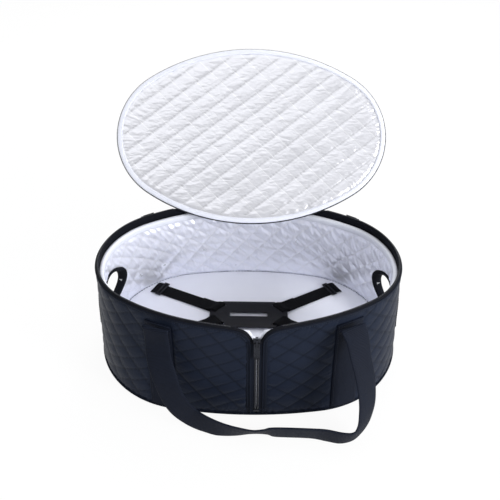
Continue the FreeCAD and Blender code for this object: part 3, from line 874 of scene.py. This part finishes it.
def rim_trim():
    share = rim_path()
    standing = [
        (5.5, 0.3), (4.0, 0.65), (1.6, 0.75), (0.2, 0.4), (-0.9, -0.7), (-1.1, -2.2), (-0.5, -3.4), (1.0, -3.9),
        (6.0, -3.9), (14.0, -3.7), (14.0, -1.8), (7.0, -1.7), (1.0, -1.7), (0.2, -1.2), (0.4, -0.4), (5.0, -0.1),
    ]
    tape = edge_strip("rim_zip_tape", share, standing)
    dress(tape, "bag", black_strip, ["rim_zip_tape"])
    inside = rim_path(2.0)
    roll = [
        (0.6, -3.4), (-0.9, -3.9), (-1.9, -5.2), (-2.1, -7.0), (-1.5, -9.0), (0.2, -10.3), (3.0, -10.7),
        (7.5, -10.5), (9.6, -9.7), (10.2, -8.9), (9.2, -8.2), (4.0, -8.1), (0.3, -8.0), (-0.2, -6.0), (0.0, -4.2),
    ]
    edge = np.minimum(edge_height(inside, -WALL), PAD_TOP)
    strip = edge_strip("rim_binding", inside, roll, edge)
    dress(strip, "bag", white_strip, ["rim_binding"])
    row = (wall(inside, edge - 8.4, -10.55), -wall_normal(inside, edge), False)
    sew("rim_binding_stitches", [row], "bag", pale_thread)

    # Coil turns stand on the rim wherever it isn't notched or scooped
    whole = edge_height(share) > HEIGHT - 3.0
    starts = np.flatnonzero(np.diff(np.concatenate([[0], whole.astype(int), [0]])))
    lines = []
    for begin, stop in zip(starts[::2], starts[1::2]):
        part = share[begin:stop]
        lines.append((wall(part, edge_height(part) + 0.9, -2.0), UP, False))
    coil = beads("rim_zip_coil", lines, coil_nylon, pitch=1.9, length=1.5, width=3.0, height=1.9)
    dress(coil, "bag", coil_nylon, ["rim_zip_coil"])

    piping = cording("rim_piping", [trim_line(3.2, 0.9, 9.0, 10.5)], 1.35, navy_strip)
    dress(piping, "bag", navy_strip, ["rim_piping"])
    for depth, beside, leave in ((7.6, 13.2, 15.0), (5.4, 11.4, 12.8)):
        sew("rim_topstitch", [trim_line(depth, 0.75, beside, leave)], "bag", dark_thread)


def trim_line(depth, off, beside, leave):
    """Line a little below the top edge that turns down each side of the front zip."""
    share = rim_path(2.5)
    top = edge_height(share, off)
    run = wall_run(share, HEIGHT)
    slope = np.clip(np.gradient(top) / np.gradient(run), -6, 6)
    up_z = 1 / np.sqrt(1 + slope**2)
    speed = (wall_run(share + 1e-4, HEIGHT) - run) / 1e-4
    spots = wall(share + depth * slope * up_z / speed, top - depth * up_z, off)
    away = spots[:, 0] - ZIP_X
    round_part = spots[(spots[:, 1] > 0) | (np.abs(away) > leave)]
    way = np.linspace(0, 1, 12)[:, None]
    legs = []
    for side, last, before in ((1, round_part[0], round_part[1]), (-1, round_part[-1], round_part[-2])):
        start = np.array([abs(last[0] - ZIP_X), last[2]])
        fall = (before[2] - last[2]) / abs(before[0] - last[0])
        turn = np.array([beside, start[1] - fall * (start[0] - beside)])
        foot = np.array([beside, turn[1] - 8.0])
        curve = start * (1 - way) ** 2 + turn * 2 * way * (1 - way) + foot * way**2
        down = np.linspace(foot[1], 6.0, 60)[1:]
        dx = np.concatenate([curve[1:, 0], np.full(len(down), beside)])
        legs.append(flank_spot(ZIP_X + side * dx, np.concatenate([curve[1:, 1], down]), off))
    line = np.concatenate([legs[0][::-1], round_part, legs[1]])
    _, normal = RIM.depth(line[:, 0], line[:, 1])
    return line, np.concatenate([normal, normal[:, :1] * 0], 1), False


rim_trim()


# Bindings round the end holes
def hole_trim():
    turns = np.linspace(0, 1, 121)[:-1]
    flat, normal = HOLE.at(turns)
    wrap = [
        (6.4, 0.3), (5.6, 1.5), (3.2, 1.9), (1.0, 1.6), (-0.4, 0.2), (-0.9, -4.0), (-0.4, -8.4), (1.0, -10.0),
        (3.2, -10.4), (5.6, -10.0), (6.4, -8.6), (2.0, -7.9), (1.6, -4.0), (2.0, -0.2),
    ]
    for name, side in (("left_hole_binding", -1), ("right_hole_binding", 1)):
        def around(grow, off):
            spot = flat + normal * grow
            return end_spot(side, HOLE_Y + spot[:, 0], HOLE_Z + spot[:, 1], off)

        rails = [around(grow, off) for grow, off in wrap]
        obj = tube(name, rails, HOLE.run(turns), np.cumsum([2.0] * len(wrap)), True)
        dress(obj, "bag", black_strip, [name])
        rows = []
        for off in (1.95, -10.4):
            spots = around(4.4, off)
            rows.append((spots, around(4.4, off + np.sign(off)) - spots, True))
        sew(name + "_stitches", rows, "bag", dark_thread)


hole_trim()


# Ribbons, and how the sewn straps are stitched
STRAP_SEAM = 3.0
STRAP_BOX = 30.0
STRAP_FACE = 2.5


def spline(points, count):
    """Evenly spaced points and the numbers carried with them, on a smooth line through the stations."""
    points = np.asarray(points, float)
    ends = np.concatenate([[2 * points[0] - points[1]], points, [2 * points[-1] - points[-2]]])
    dense = []
    for a, b, c, d in zip(ends[:-3], ends[1:-2], ends[2:-1], ends[3:]):
        t = np.linspace(0, 1, 60, endpoint=False)[:, None]
        bend, twist = 2 * a - 5 * b + 4 * c - d, 3 * b - a - 3 * c + d
        dense.append(0.5 * (2 * b + (c - a) * t + bend * t**2 + twist * t**3))
    dense = np.concatenate(dense + [points[-1:]])
    step = np.concatenate([[0], np.cumsum(np.linalg.norm(np.diff(dense[:, :3], axis=0), axis=1))])
    at = np.linspace(0, step[-1], count)
    return np.stack([np.interp(at, step, dense[:, k]) for k in range(dense.shape[1])], -1), at


def ribbon(name, points, width, thick, pitch=2.5, crown=0.0):
    """Flat strap through stations of centre and across direction, with rounded edges."""
    points = np.asarray(points, float)
    rough = np.sum(np.linalg.norm(np.diff(points[:, :3], axis=0), axis=1))
    line, at = spline(points, max(int(rough / pitch), 8))
    centre, across = line[:, :3], line[:, 3:6]
    along = np.gradient(centre, axis=0)
    along /= np.linalg.norm(along, axis=1)[:, None]
    across = across - along * np.sum(across * along, axis=1)[:, None]
    across /= np.linalg.norm(across, axis=1)[:, None]
    lift = np.cross(along, across)
    half, deep = width / 2, thick / 2
    inner = np.linspace(-half + deep, half - deep, 9)
    bow = crown * (1 - (inner / half) ** 2)
    top = [(x, deep + b) for x, b in zip(inner, bow)]
    low = [(x, -deep + b) for x, b in zip(inner[::-1], bow[::-1])]
    outline = top + [(half - 0.2, deep * 0.5), (half, 0), (half - 0.2, -deep * 0.5)] + low
    outline += [(-half + 0.2, -deep * 0.5), (-half, 0), (-half + 0.2, deep * 0.5)]
    rails = [centre + across * x + lift * y for x, y in outline]
    return tube(name, rails, at, [x for x, _ in outline]), centre, across


def flank_row(x, z, off, rear=False):
    """Row to sew on the front or rear of the wall."""
    spots = flank_spot(x, z, off, rear)
    return spots, flank_spot(x, z, off + 1, rear) - spots, False


def sewn_strap(name, x, rear):
    half = WEBBING_WIDTH / 2
    z = np.linspace(STRAP_BOTTOM, STRAP_TOP, 60)
    outline = [(-half, 0.1), (-half, 1.9), (-0.97 * half, 2.35), (-0.5 * half, 2.45), (0.0, 2.5)]
    outline += [(-dx, off) for dx, off in outline[-2::-1]]
    outline += [(0.5 * half, 0.0), (0.0, 0.0), (-0.5 * half, 0.0)]
    rails = [flank_spot(x + dx, z, off, rear) for dx, off in outline]
    dress(tube(name, rails, z, [dx for dx, _ in outline]), "bag", strap_weave, [name])

    # Two long rows, and a crossed box at the top
    inner = half - STRAP_SEAM
    line = np.linspace(STRAP_BOTTOM + STRAP_SEAM, STRAP_TOP - STRAP_SEAM, 60)
    rows = [flank_row(x + edge, line, STRAP_FACE, rear) for edge in (-inner, inner)]
    share = np.linspace(0, 1, 14)
    for a, b in (((-1, 1), (1, 1)), ((-1, 0), (1, 0)), ((-1, 1), (1, 0)), ((1, 1), (-1, 0))):
        dx = (a[0] + (b[0] - a[0]) * share) * inner
        rise = (a[1] + (b[1] - a[1]) * share) * (STRAP_BOX - STRAP_SEAM)
        rows.append(flank_row(x + dx, STRAP_TOP - STRAP_BOX + rise, STRAP_FACE, rear))
    sew(name + "_stitches", rows, "bag", dark_thread)


# Stations along each handle: its centre, then the direction across the strap
FRONT_HANDLE = [
    (-121, -141.0, 146, 0.93, -0.36, 0), (-121, -144.2, 150.4, 0.93, -0.36, 0),
    (-121, -146.5, 146.5, 0.93, -0.35, 0.03), (-120.5, -150, 124, 0.94, -0.30, 0.10),
    (-118, -161, 106, 0.95, -0.20, 0.22), (-113, -170, 92, 0.95, -0.15, 0.27),
    (-106, -180, 70, 0.89, -0.15, 0.42), (-94, -189, 45, 0.74, -0.05, 0.66),
    (-76, -194, 26, 0.50, -0.02, 0.86), (-53, -202, 20, 0.34, -0.10, 0.93),
    (-34, -208, 19.5, 0.25, -0.17, 0.94), (-12, -211, 19, 0.10, -0.32, 0.94),
    (10, -211, 18, 0, -0.48, 0.87), (28, -211, 19, -0.02, -0.44, 0.90),
    (42, -212, 20, -0.03, -0.29, 0.95), (90, -213, 20, -0.08, -0.27, 0.96),
    (112, -216, 20.5, -0.05, -0.20, 0.97), (131, -220, 21, -0.04, -0.22, 0.97),
    (146, -219, 22, -0.12, -0.33, 0.93), (156, -213, 26, -0.28, -0.44, 0.85),
    (163, -206, 39, -0.48, -0.50, 0.72), (165.5, -197, 61, -0.60, -0.40, 0.69),
    (164, -188, 82, -0.70, -0.40, 0.60), (160, -178, 102, -0.77, -0.40, 0.48),
    (154, -163, 122, -0.82, -0.41, 0.38), (150, -148, 139, -0.88, -0.40, 0.22),
    (145, -139.5, 148.8, -0.91, -0.41, 0.04), (143.2, -136.5, 150.2, -0.91, -0.41, 0),
    (143, -134.2, 145, -0.91, -0.41, 0),
]
REAR_HALF = [
    (0, 194, 19, 0, 0.25, 0.96), (56, 192, 19, 0.20, 0.20, 0.95),
    (92, 187, 26, 0.55, 0.05, 0.83), (116, 177, 44, 0.88, -0.08, 0.42),
    (128, 164, 72, 0.97, -0.18, 0.10), (132, 151, 110, 0.94, -0.32, 0.03),
    (131, 143.0, 146, 0.90, -0.42, 0), (130.5, 139.5, 151, 0.90, -0.42, 0),
    (130, 136.0, 146, 0.90, -0.42, 0),
]


def handles():
    mirrored = [(-x, y, z, -ax, ay, az) for x, y, z, ax, ay, az in REAR_HALF[:0:-1]]
    for name, stations in (("front_handle", FRONT_HANDLE), ("rear_handle", mirrored + REAR_HALF)):
        obj, _, _ = ribbon(name, stations, WEBBING_WIDTH, WEBBING_THICK, 2.5, 0.5)
        dress(obj, name, strap_weave, [name])


for x_left, x_right, row in ((*FRONT_STRAP_XS, "front"), (*REAR_STRAP_XS, "rear")):
    sewn_strap(row + "_strap_left", x_left, row == "rear")
    sewn_strap(row + "_strap_right", x_right, row == "rear")
handles()


# Front zip
def front_zip():
    high = HEIGHT - NOTCH_DEPTH - 0.5
    z = np.linspace(ZIP_BOTTOM, high, 70)
    wrap = [
        (14.6, 0.1), (14.6, 0.8), (13.6, 1.3), (11.4, 1.2), (10.2, 0.5), (6.4, 0.5), (2.2, 0.5), (0.12, 0.2),
        (0.12, -8.4), (2.2, -9.2), (7.0, -9.4), (7.0, -8.3), (2.1, -8.1), (2.0, -0.1),
    ]
    for name, side in (("left", -1), ("right", 1)):
        rails = [flank_spot(ZIP_X + side * dx, z, off) for dx, off in wrap]
        obj = tube(f"front_zip_tape_{name}", rails, z, [dx - off for dx, off in wrap])
        dress(obj, "bag", navy_strip, [f"front_zip_tape_{name}"])
        shift = 0.0 if side > 0 else 0.9
        line = flank_spot(ZIP_X + side * 1.9, z[0] + shift + np.linspace(0, high - ZIP_BOTTOM - 1, 70), 0.5)
        rows = [(line, np.array([0, -1.0, 0.1]), False)]
        coil = beads(f"front_zip_coil_{name}", rows, coil_nylon, pitch=1.8, length=1.5, width=4.4, height=2.6)
        dress(coil, "bag", coil_nylon, [f"front_zip_coil_{name}"])


front_zip()


# Hard pieces keep the model's own shape with their edges rounded
def rounded(node, body, slot, material, width):
    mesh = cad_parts[node].data.copy()
    mesh.name = node + "_rounded"
    tidy = bmesh.new()
    tidy.from_mesh(mesh)
    bmesh.ops.remove_doubles(tidy, verts=tidy.verts[:], dist=1e-6)
    bmesh.ops.dissolve_limit(tidy, angle_limit=math.radians(2), verts=tidy.verts[:], edges=tidy.edges[:])
    sharp = [e for e in tidy.edges if len(e.link_faces) == 2 and e.calc_face_angle(0) > math.radians(30)]
    size = {"offset": width * MM, "segments": 2, "profile": 0.5, "clamp_overlap": True}
    bmesh.ops.bevel(tidy, geom=sharp, affect="EDGES", **size)
    bmesh.ops.triangulate(tidy, faces=[f for f in tidy.faces if len(f.verts) > 4])
    tidy.to_mesh(mesh)
    tidy.free()
    mesh.shade_smooth()
    mesh.set_sharp_from_angle(angle=math.radians(35))
    obj = bpy.data.objects.new(node + "_rounded", mesh)
    bpy.context.collection.objects.link(obj)
    return dress(obj, body, material, [node])


# Node, body, slot, material and width of the rounding
HARD_PIECES = [
    ("front_zip_stop", "bag", "zip_metal", zip_metal, 0.35),
    ("front_zip_slider", "front_zip_slider", "zip_metal", zip_metal, 0.35),
    ("front_zip_puller", "front_zip_puller", "zip_metal", zip_metal, 0.25),
    ("lid_slider_left", "lid_slider_left", "zip_metal", zip_metal, 0.3),
    ("lid_slider_right", "lid_slider_right", "zip_metal", zip_metal, 0.3),
    ("lid_puller_left", "lid_puller_left", "zip_metal", zip_metal, 0.25),
    ("lid_puller_right", "lid_puller_right", "zip_metal", zip_metal, 0.25),
    ("harness_plate", "harness_plate", "harness_plastic", harness_plastic, 0.6),
    ("harness_ring_left", "bag", "harness_plastic", harness_plastic, 0.4),
    ("harness_ring_right", "bag", "harness_plastic", harness_plastic, 0.4),
]
for hard_piece in HARD_PIECES:
    rounded(*hard_piece)


# Ovals of cloth: the lid's layers and the base's
def oval_grid(oval, inset, pitch):
    """Square grid over an oval, its outermost points drawn onto the outline."""
    half_x = oval.end_x + oval.end - inset
    half_y = oval.flank - oval.centre_y - inset
    xs = np.linspace(-half_x - pitch, half_x + pitch, int(2 * half_x / pitch) + 3)
    ys = np.linspace(-half_y - pitch, half_y + pitch, int(2 * half_y / pitch) + 3) + oval.shift
    x, y = np.meshgrid(xs, ys, indexing="ij")
    middle, _ = oval.depth((x[:-1, :-1] + x[1:, 1:]) / 2, (y[:-1, :-1] + y[1:, 1:]) / 2)
    keep = middle > inset
    around = np.pad(keep, 1)
    count = around[:-1, :-1].astype(int) + around[1:, :-1] + around[:-1, 1:] + around[1:, 1:]
    border = (count > 0) & (count < 4)
    depth, normal = oval.depth(x, y)
    move = np.where(border, depth - inset, 0.0)
    x, y = x + normal[..., 0] * move, y + normal[..., 1] * move
    depth, normal = oval.depth(x, y)
    return x, y, depth - inset, normal, keep


def opened(points):
    """Turns points of the closed lid to where it lies open."""
    angle = math.radians(-LID_OPEN)
    y, z = points[..., 1] - HINGE_Y, points[..., 2] - HINGE_Z
    turned = points.copy()
    turned[..., 1] = HINGE_Y + y * math.cos(angle) - z * math.sin(angle)
    turned[..., 2] = HINGE_Z + y * math.sin(angle) + z * math.cos(angle)
    return turned


def opened_direction(z):
    """Upright direction of the closed lid, turned to where it lies open."""
    angle = math.radians(-LID_OPEN)
    return np.array([0, -z * math.sin(angle), z * math.cos(angle)])


def lid_layer(name, inset, face_z, back_z, pitch, upward, edge_fade, ripple_size, reach, seed, slack):
    """One layer of the lid, rippled near its sewn edge and slack in its middle."""
    x, y, gap, normal, keep = oval_grid(RIM, inset, pitch)
    sway = wobble(x + y * 0.4, 190, seed) * wobble(y - x * 0.3, 150, seed + 1) * slack * smooth(0, 60, gap)
    face = opened(np.stack([x, y, face_z + sway], -1))
    back = opened(np.stack([x, y, back_z + sway], -1))
    outward = np.broadcast_to(opened_direction(1.0 if upward else -1.0), face.shape)
    angle = np.arctan2(normal[..., 1], normal[..., 0])
    edge_run = RIM.run((angle / (2 * np.pi) + 0.25) % 1.0)
    wave = wobble(edge_run + gap * 0.2, 15.0, seed + 3)
    uneven = 0.55 + 0.45 * wobble(edge_run, 90.0, seed + 4)
    fade = np.exp(-np.maximum(gap - edge_fade, 0) / (reach * np.maximum(uneven, 0.3)))
    ripple = wave * fade * smooth(0, edge_fade + 3, gap) * ripple_size
    soft = smooth(edge_fade, edge_fade + 7, gap)
    values = {"run": x, "rise": y, "outward": outward, "ripple": ripple, "soft": soft}
    return slab(name, face, back, keep, values)


def rim_ring(turns, off, z):
    """Line round the lid where it lies open, from its offset and height on the closed lid."""
    flat, normal = RIM.at(turns)
    return opened(np.concatenate([flat + normal * off, np.full((len(turns), 1), z)], 1))


def lid_ring(name, section, material):
    """Strip round the lid; section lists (offset from the rim outline, height) on the closed lid."""
    turns = np.linspace(0, 1, 361)[:-1]
    rails = [rim_ring(turns, off, z) for off, z in section]
    obj = tube(name, rails, RIM.run(turns), np.cumsum([1.5] * len(section)), True)
    dress(obj, "lid", material, [name])


def lid():
    lining = lid_layer(
        "lid_lining", 1.5, LID_LOW, LID_LOW + 1.2, pitch=1.6, upward=False,
        edge_fade=7.0, ripple_size=0.7, reach=30.0, seed=61, slack=1.6,
    )
    quilt(lining, LID_LINES, lid_foil, puff=1.2, crinkle=0.22, seed=51.0, sharpness=0.35, falling=0.5)
    dress(lining, "lid", lid_foil, ["lid_lining"])
    foam = lid_layer(
        "lid_foam", 2.2, LID_LOW + 1.4, LID_HIGH - 1.4, pitch=5.0, upward=False,
        edge_fade=3.0, ripple_size=0.0, reach=10.0, seed=62, slack=0.0,
    )
    dress(foam, "lid", foam_pad, ["lid_foam"])
    outside = lid_layer(
        "lid_outer_panel", 1.5, LID_HIGH, LID_HIGH - 1.2, pitch=2.0, upward=True,
        edge_fade=3.5, ripple_size=0.45, reach=10.0, seed=63, slack=1.2,
    )
    quilt(outside, OUTER_LINES, outer_cloth, puff=1.1, crinkle=0.12, seed=15.0, sharpness=0.4)
    dress(outside, "lid", outer_cloth, ["lid_outer_panel"])
    bound = [
        (-0.7, 168.0), (-0.9, 167.2), (-2.2, 166.6), (-4.2, 166.2), (-7.2, 166.0), (-8.9, 166.6), (-9.3, 167.4),
        (-8.0, 168.2), (-3.0, 168.3),
    ]
    lid_ring("lid_binding", bound, white_strip)
    side = [
        (-1.6, 167.9), (-0.5, 167.9), (0.1, 168.8), (0.2, 172.0), (0.1, 175.4), (-0.8, 176.9), (-2.6, 177.4),
        (-4.6, 177.2), (-4.4, 175.9), (-1.6, 175.6),
    ]
    lid_ring("lid_zip_tape", side, black_strip)
    turns = np.linspace(0, 1, 721)[:-1]
    coil_line = rim_ring(turns, 0.3, 169.4)
    out = rim_ring(turns, 1.3, 169.4) - coil_line
    rows = [(coil_line, out, True)]
    coil = beads("lid_zip_coil", rows, coil_nylon, pitch=1.9, length=1.5, width=2.4, height=1.9)
    dress(coil, "lid", coil_nylon, ["lid_zip_coil"])
    up = opened_direction(1.0)
    rows = [(rim_ring(turns, -7.6, 165.95), -up, True)]
    sew("lid_binding_stitches", rows, "lid", pale_thread)
    rows = [(rim_ring(turns, -6.4, 176.6), up, True)]
    sew("lid_outer_topstitch", rows, "lid", dark_thread)


lid()


# Hinge cloth between the rear wall and the lid, sewn to the wall along a line that rises to its ends
HINGE_LID_HALF = 80.0
HINGE_WALL_HALF = 86.0
HINGE_SEWN_Z = 123.5
HINGE_SEWN_RISE = 21.8
HINGE_INSET = 9.0


def hinge_cloth():
    way = np.linspace(0, 1, 14)
    x_lid, x_wall = (np.linspace(-half, half, 81) for half in (HINGE_LID_HALF, HINGE_WALL_HALF))
    sewn_z = HINGE_SEWN_Z + HINGE_SEWN_RISE * (x_wall / HINGE_WALL_HALF) ** 2
    reach = wall(share_at(0, x_wall, sewn_z, -HINGE_INSET, 0.5), sewn_z, -HINGE_INSET)[:, 1]
    lid_edge = np.sqrt((RIM.flank - HINGE_INSET) ** 2 - x_lid**2) - RIM.centre_y
    front = opened(np.stack([x_lid, lid_edge, np.full_like(x_lid, LID_HIGH + 0.6)], -1))
    rear = np.stack([x_wall, reach, sewn_z], -1)
    face = front[:, None] * (1 - way[None, :, None]) + rear[:, None] * way[None, :, None]
    face[..., 2] += 0.5 * wobble(x_wall, 24, 71)[:, None] * np.sin(np.pi * way)[None]
    back = face - np.array([0, 0, 1.2])
    run = np.broadcast_to(x_wall[:, None], face.shape[:2])
    rise = np.broadcast_to(40 * way[None], face.shape[:2])
    whole = np.ones((len(x_lid) - 1, len(way) - 1), bool)
    obj = slab("lid_hinge_strip", face, back, whole, {"along": run, "across": rise})
    dress(obj, None, navy_strip, ["lid_hinge_strip"])
    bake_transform(obj)


hinge_cloth()


# Base stack
def base_stack():
    x, y, gap, _, keep = oval_grid(BASE, 0.2, 4.0)
    lift = 0.5 * (1 - smooth(0, 4, gap))
    face = np.stack([x, y, lift], -1)
    back = np.stack([x, y, np.full_like(x, 1.5)], -1)
    under = slab("base_outer_panel", face, back, keep, {"run": x, "rise": y})
    dress(under, "bag", base_cloth, ["base_outer_panel"])
    x, y, _, _, keep = oval_grid(BASE, WALL + 0.3, 5.0)
    face, back = (np.stack([x, y, np.full_like(x, z)], -1) for z in (8.8, 3.6))
    foam = slab("base_foam", face, back, keep, {"run": x, "rise": y})
    dress(foam, "bag", foam_pad, ["base_foam"])
    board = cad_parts["base_board"]
    board.data.materials.clear()
    board.data.materials.append(board_fibre)
    turns = np.linspace(0, 1, 481)[:-1]
    ring = cording("base_piping", [(wall(turns, 3.2, 0.4), wall_normal(turns, 3.2), True)], 1.7, navy_strip)
    dress(ring, "bag", navy_strip, ["base_piping"])
    rows = [(wall(turns, 7.4, 0.35), wall_normal(turns, 7.4), True)]
    sew("base_topstitch", rows, "bag", dark_thread)

    x, y, gap, _, keep = oval_grid(BASE, WALL + 0.2, 2.5)
    folds = 0.9 * wobble(x * 0.8 + y * 0.6, 120, 81) * wobble(y - x * 0.2, 90, 82)
    folds += 0.35 * wobble(x - y * 0.5, 34, 83) * wobble(y + x * 0.7, 47, 84)
    folds *= smooth(0, 30, gap)
    crown = 1.6 * smooth(0, 70, gap)
    top = FLOOR_TOP + crown + folds - 0.3 * (1 - smooth(0, 5, gap))
    face, back = np.stack([x, y, top], -1), np.stack([x, y, np.full_like(x, 9.1)], -1)
    obj = slab("floor_lining", face, back, keep, {"run": x, "rise": y})
    dress(obj, "bag", floor_cloth, ["floor_lining"])
    seam = np.linspace(0.016, 0.995, 520)
    z = FLOOR_TOP + 1.0 + 0.5 * wobble(seam * 1500, 37, 91)
    rows = [(wall(seam, z, -WALL - 1.4), UP, False)]
    dashes = beads("floor_seam_stitches", rows, dark_thread, pitch=5.6, length=3.0, width=0.9, height=1.1)
    dress(dashes, "bag", dark_thread)


base_stack()


# Pot harness
REAR_ANCHORS = ((-165.0, 89.0), (152.0, 95.0))
FRONT_ANCHORS = ((-200.0, -60.0), (200.0, -60.0))
ANCHOR_Z = 13.0
ANCHOR_WIDTH = 28.0
ANCHOR_THICK = 1.8
ELASTIC_WIDTH = 24.5
ELASTIC_THICK = 1.5
SLOT_X = 50.5
SLOT_Y = 14.5


def harness():
    for row, anchors, side_y in (("rear", REAR_ANCHORS, 1), ("front", FRONT_ANCHORS, -1)):
        for name, side_x, anchor in zip(("left", "right"), (-1, 1), anchors):
            outer = np.array(anchor)
            inner = np.array([side_x * SLOT_X, PLATE_Y + side_y * SLOT_Y])
            length = np.linalg.norm(inner - outer)
            run = (inner - outer) / length
            cross = np.array([-run[1], run[0]])
            slot_way = np.array([side_x * side_y * -1.0, 1.0]) / math.sqrt(2)
            slot_way = slot_way * np.sign(slot_way @ cross)
            path = [
                (0, ANCHOR_Z, 0), (0.35 * length, ANCHOR_Z + 0.9, 0), (0.7 * length, ANCHOR_Z + 1.7, 0.1),
                (length - 16, 15.0, 0.5), (length - 3, 15.2, 1), (length + 0.3, 16.6, 1), (length + 0.6, 18.6, 1),
                (length - 1.2, 21.0, 1), (length - 7, 21.4, 1), (length - 12, 19.6, 0.8), (length - 18, 17.6, 0.5),
                (length - 30, 17.0, 0.1), (length - 38, 16.8, 0),
            ]
            stations = []
            for reach, z, turn in path:
                spot = outer + run * reach
                way = cross * (1 - turn) + slot_way * turn
                stations.append((*spot, z, *way, 0))
            obj, _, _ = ribbon(f"elastic_{row}_{name}", stations, ELASTIC_WIDTH, ELASTIC_THICK, 2.0)
            dress(obj, None, elastic_weave, [f"elastic_{row}_{name}"])
            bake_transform(obj)
            tab_path = [(-9.5, 11.8), (-5, 13.6), (0, 14.6), (6, 14.8), (9.5, 14.4)]
            stations = [(*(outer + run * reach), z, *cross, 0) for reach, z in tab_path]
            tab, centre, across = ribbon(f"anchor_{row}_{name}", stations, ANCHOR_WIDTH, ANCHOR_THICK, 1.5)
            dress(tab, "bag", elastic_weave, [f"anchor_{row}_{name}"])
            rows = []
            for share in (0.45, 0.85):
                index = int(share * (len(centre) - 1))
                line = centre[index] + across[index] * np.linspace(-12, 12, 9)[:, None] + UP
                rows.append((line, UP, False))
            sew(f"anchor_{row}_{name}_stitches", rows, "bag", dark_thread)


harness()


# Floor, light and world
def studio():
    floor_mesh = bpy.data.meshes.new("floor")
    corners = [(-6, -6, 0), (6, -6, 0), (6, 6, 0), (-6, 6, 0)]
    floor_mesh.from_pydata(corners, [], [(0, 1, 2, 3)])
    floor = bpy.data.objects.new("floor", floor_mesh)
    floor.location = (0, 0, -0.0006)
    bpy.context.collection.objects.link(floor)
    made = bpy.data.materials.new("floor_white")
    made.use_nodes = True
    tree = Tree(made.node_tree)
    shader = made.node_tree.nodes["Principled BSDF"]
    shader.inputs["Base Color"].default_value = (0.86, 0.86, 0.87, 1)
    shader.inputs["Roughness"].default_value = 0.8
    rays = tree.add("ShaderNodeLightPath", out="Is Camera Ray")
    glossy = tree.add("ShaderNodeLightPath", out="Is Glossy Ray")
    seen = rays.math("MAXIMUM", rays, glossy)
    glow = tree.add("ShaderNodeEmission", None, {"Color": (1, 1, 1, 1), "Strength": 1.0})
    lit = Wire(tree, shader.outputs[0])
    mixed = tree.add("ShaderNodeMixShader", None, {0: seen * 0.92, 1: lit, 2: glow})
    output = made.node_tree.nodes["Material Output"]
    made.node_tree.links.new(mixed.socket, output.inputs["Surface"])
    floor_mesh.materials.append(made)

    world = bpy.data.worlds.new("studio")
    bpy.context.scene.world = world
    world.use_nodes = True
    tree = Tree(world.node_tree)
    rays = tree.add("ShaderNodeLightPath", out="Is Camera Ray")
    glossy = tree.add("ShaderNodeLightPath", out="Is Glossy Ray")
    back = world.node_tree.nodes["Background"]

    # A big pale ceiling that fades towards the horizon, as the shiny linings see it
    way = tree.add("ShaderNodeTexCoord", out="Generated")
    height = tree.add("ShaderNodeSeparateXYZ", None, {0: way}, out="Z")
    aside = tree.add("ShaderNodeSeparateXYZ", None, {0: way}, out="X")
    settings = {"interpolation_type": "SMOOTHSTEP"}
    spread = {0: height - aside * 0.25, 1: 0.76, 2: 0.90, 3: 0.5, 4: 1.15}
    ceiling = tree.add("ShaderNodeMapRange", settings, spread)
    strength = (1 - glossy) * 0.9 + glossy * ceiling
    strength = strength * (1 - rays) + rays
    world.node_tree.links.new(strength.socket, back.inputs["Strength"])
    back.inputs["Color"].default_value = (1, 1, 1, 1)

    # Name, place, aim, width in metres and power in watts
    for name, place, aim, size, power in (
        ("key", (2.0, -1.2, 0.9), (0, 0, 0.15), 1.2, 60),
        ("fill", (-1.5, -0.7, 1.5), (0, 0, 0.1), 1.3, 1),
        ("back", (0.3, 1.6, 1.7), (0, 0, 0.2), 1.2, 20),
    ):
        lamp = bpy.data.lights.new(name, "AREA")
        lamp.shape = "DISK"
        lamp.size = size
        lamp.energy = power
        holder = bpy.data.objects.new(name, lamp)
        bpy.context.collection.objects.link(holder)
        holder.location = place
        holder.rotation_euler = (Vector(aim) - Vector(place)).to_track_quat("-Z", "Y").to_euler()
    bpy.context.scene.view_settings.view_transform = "Standard"


studio()
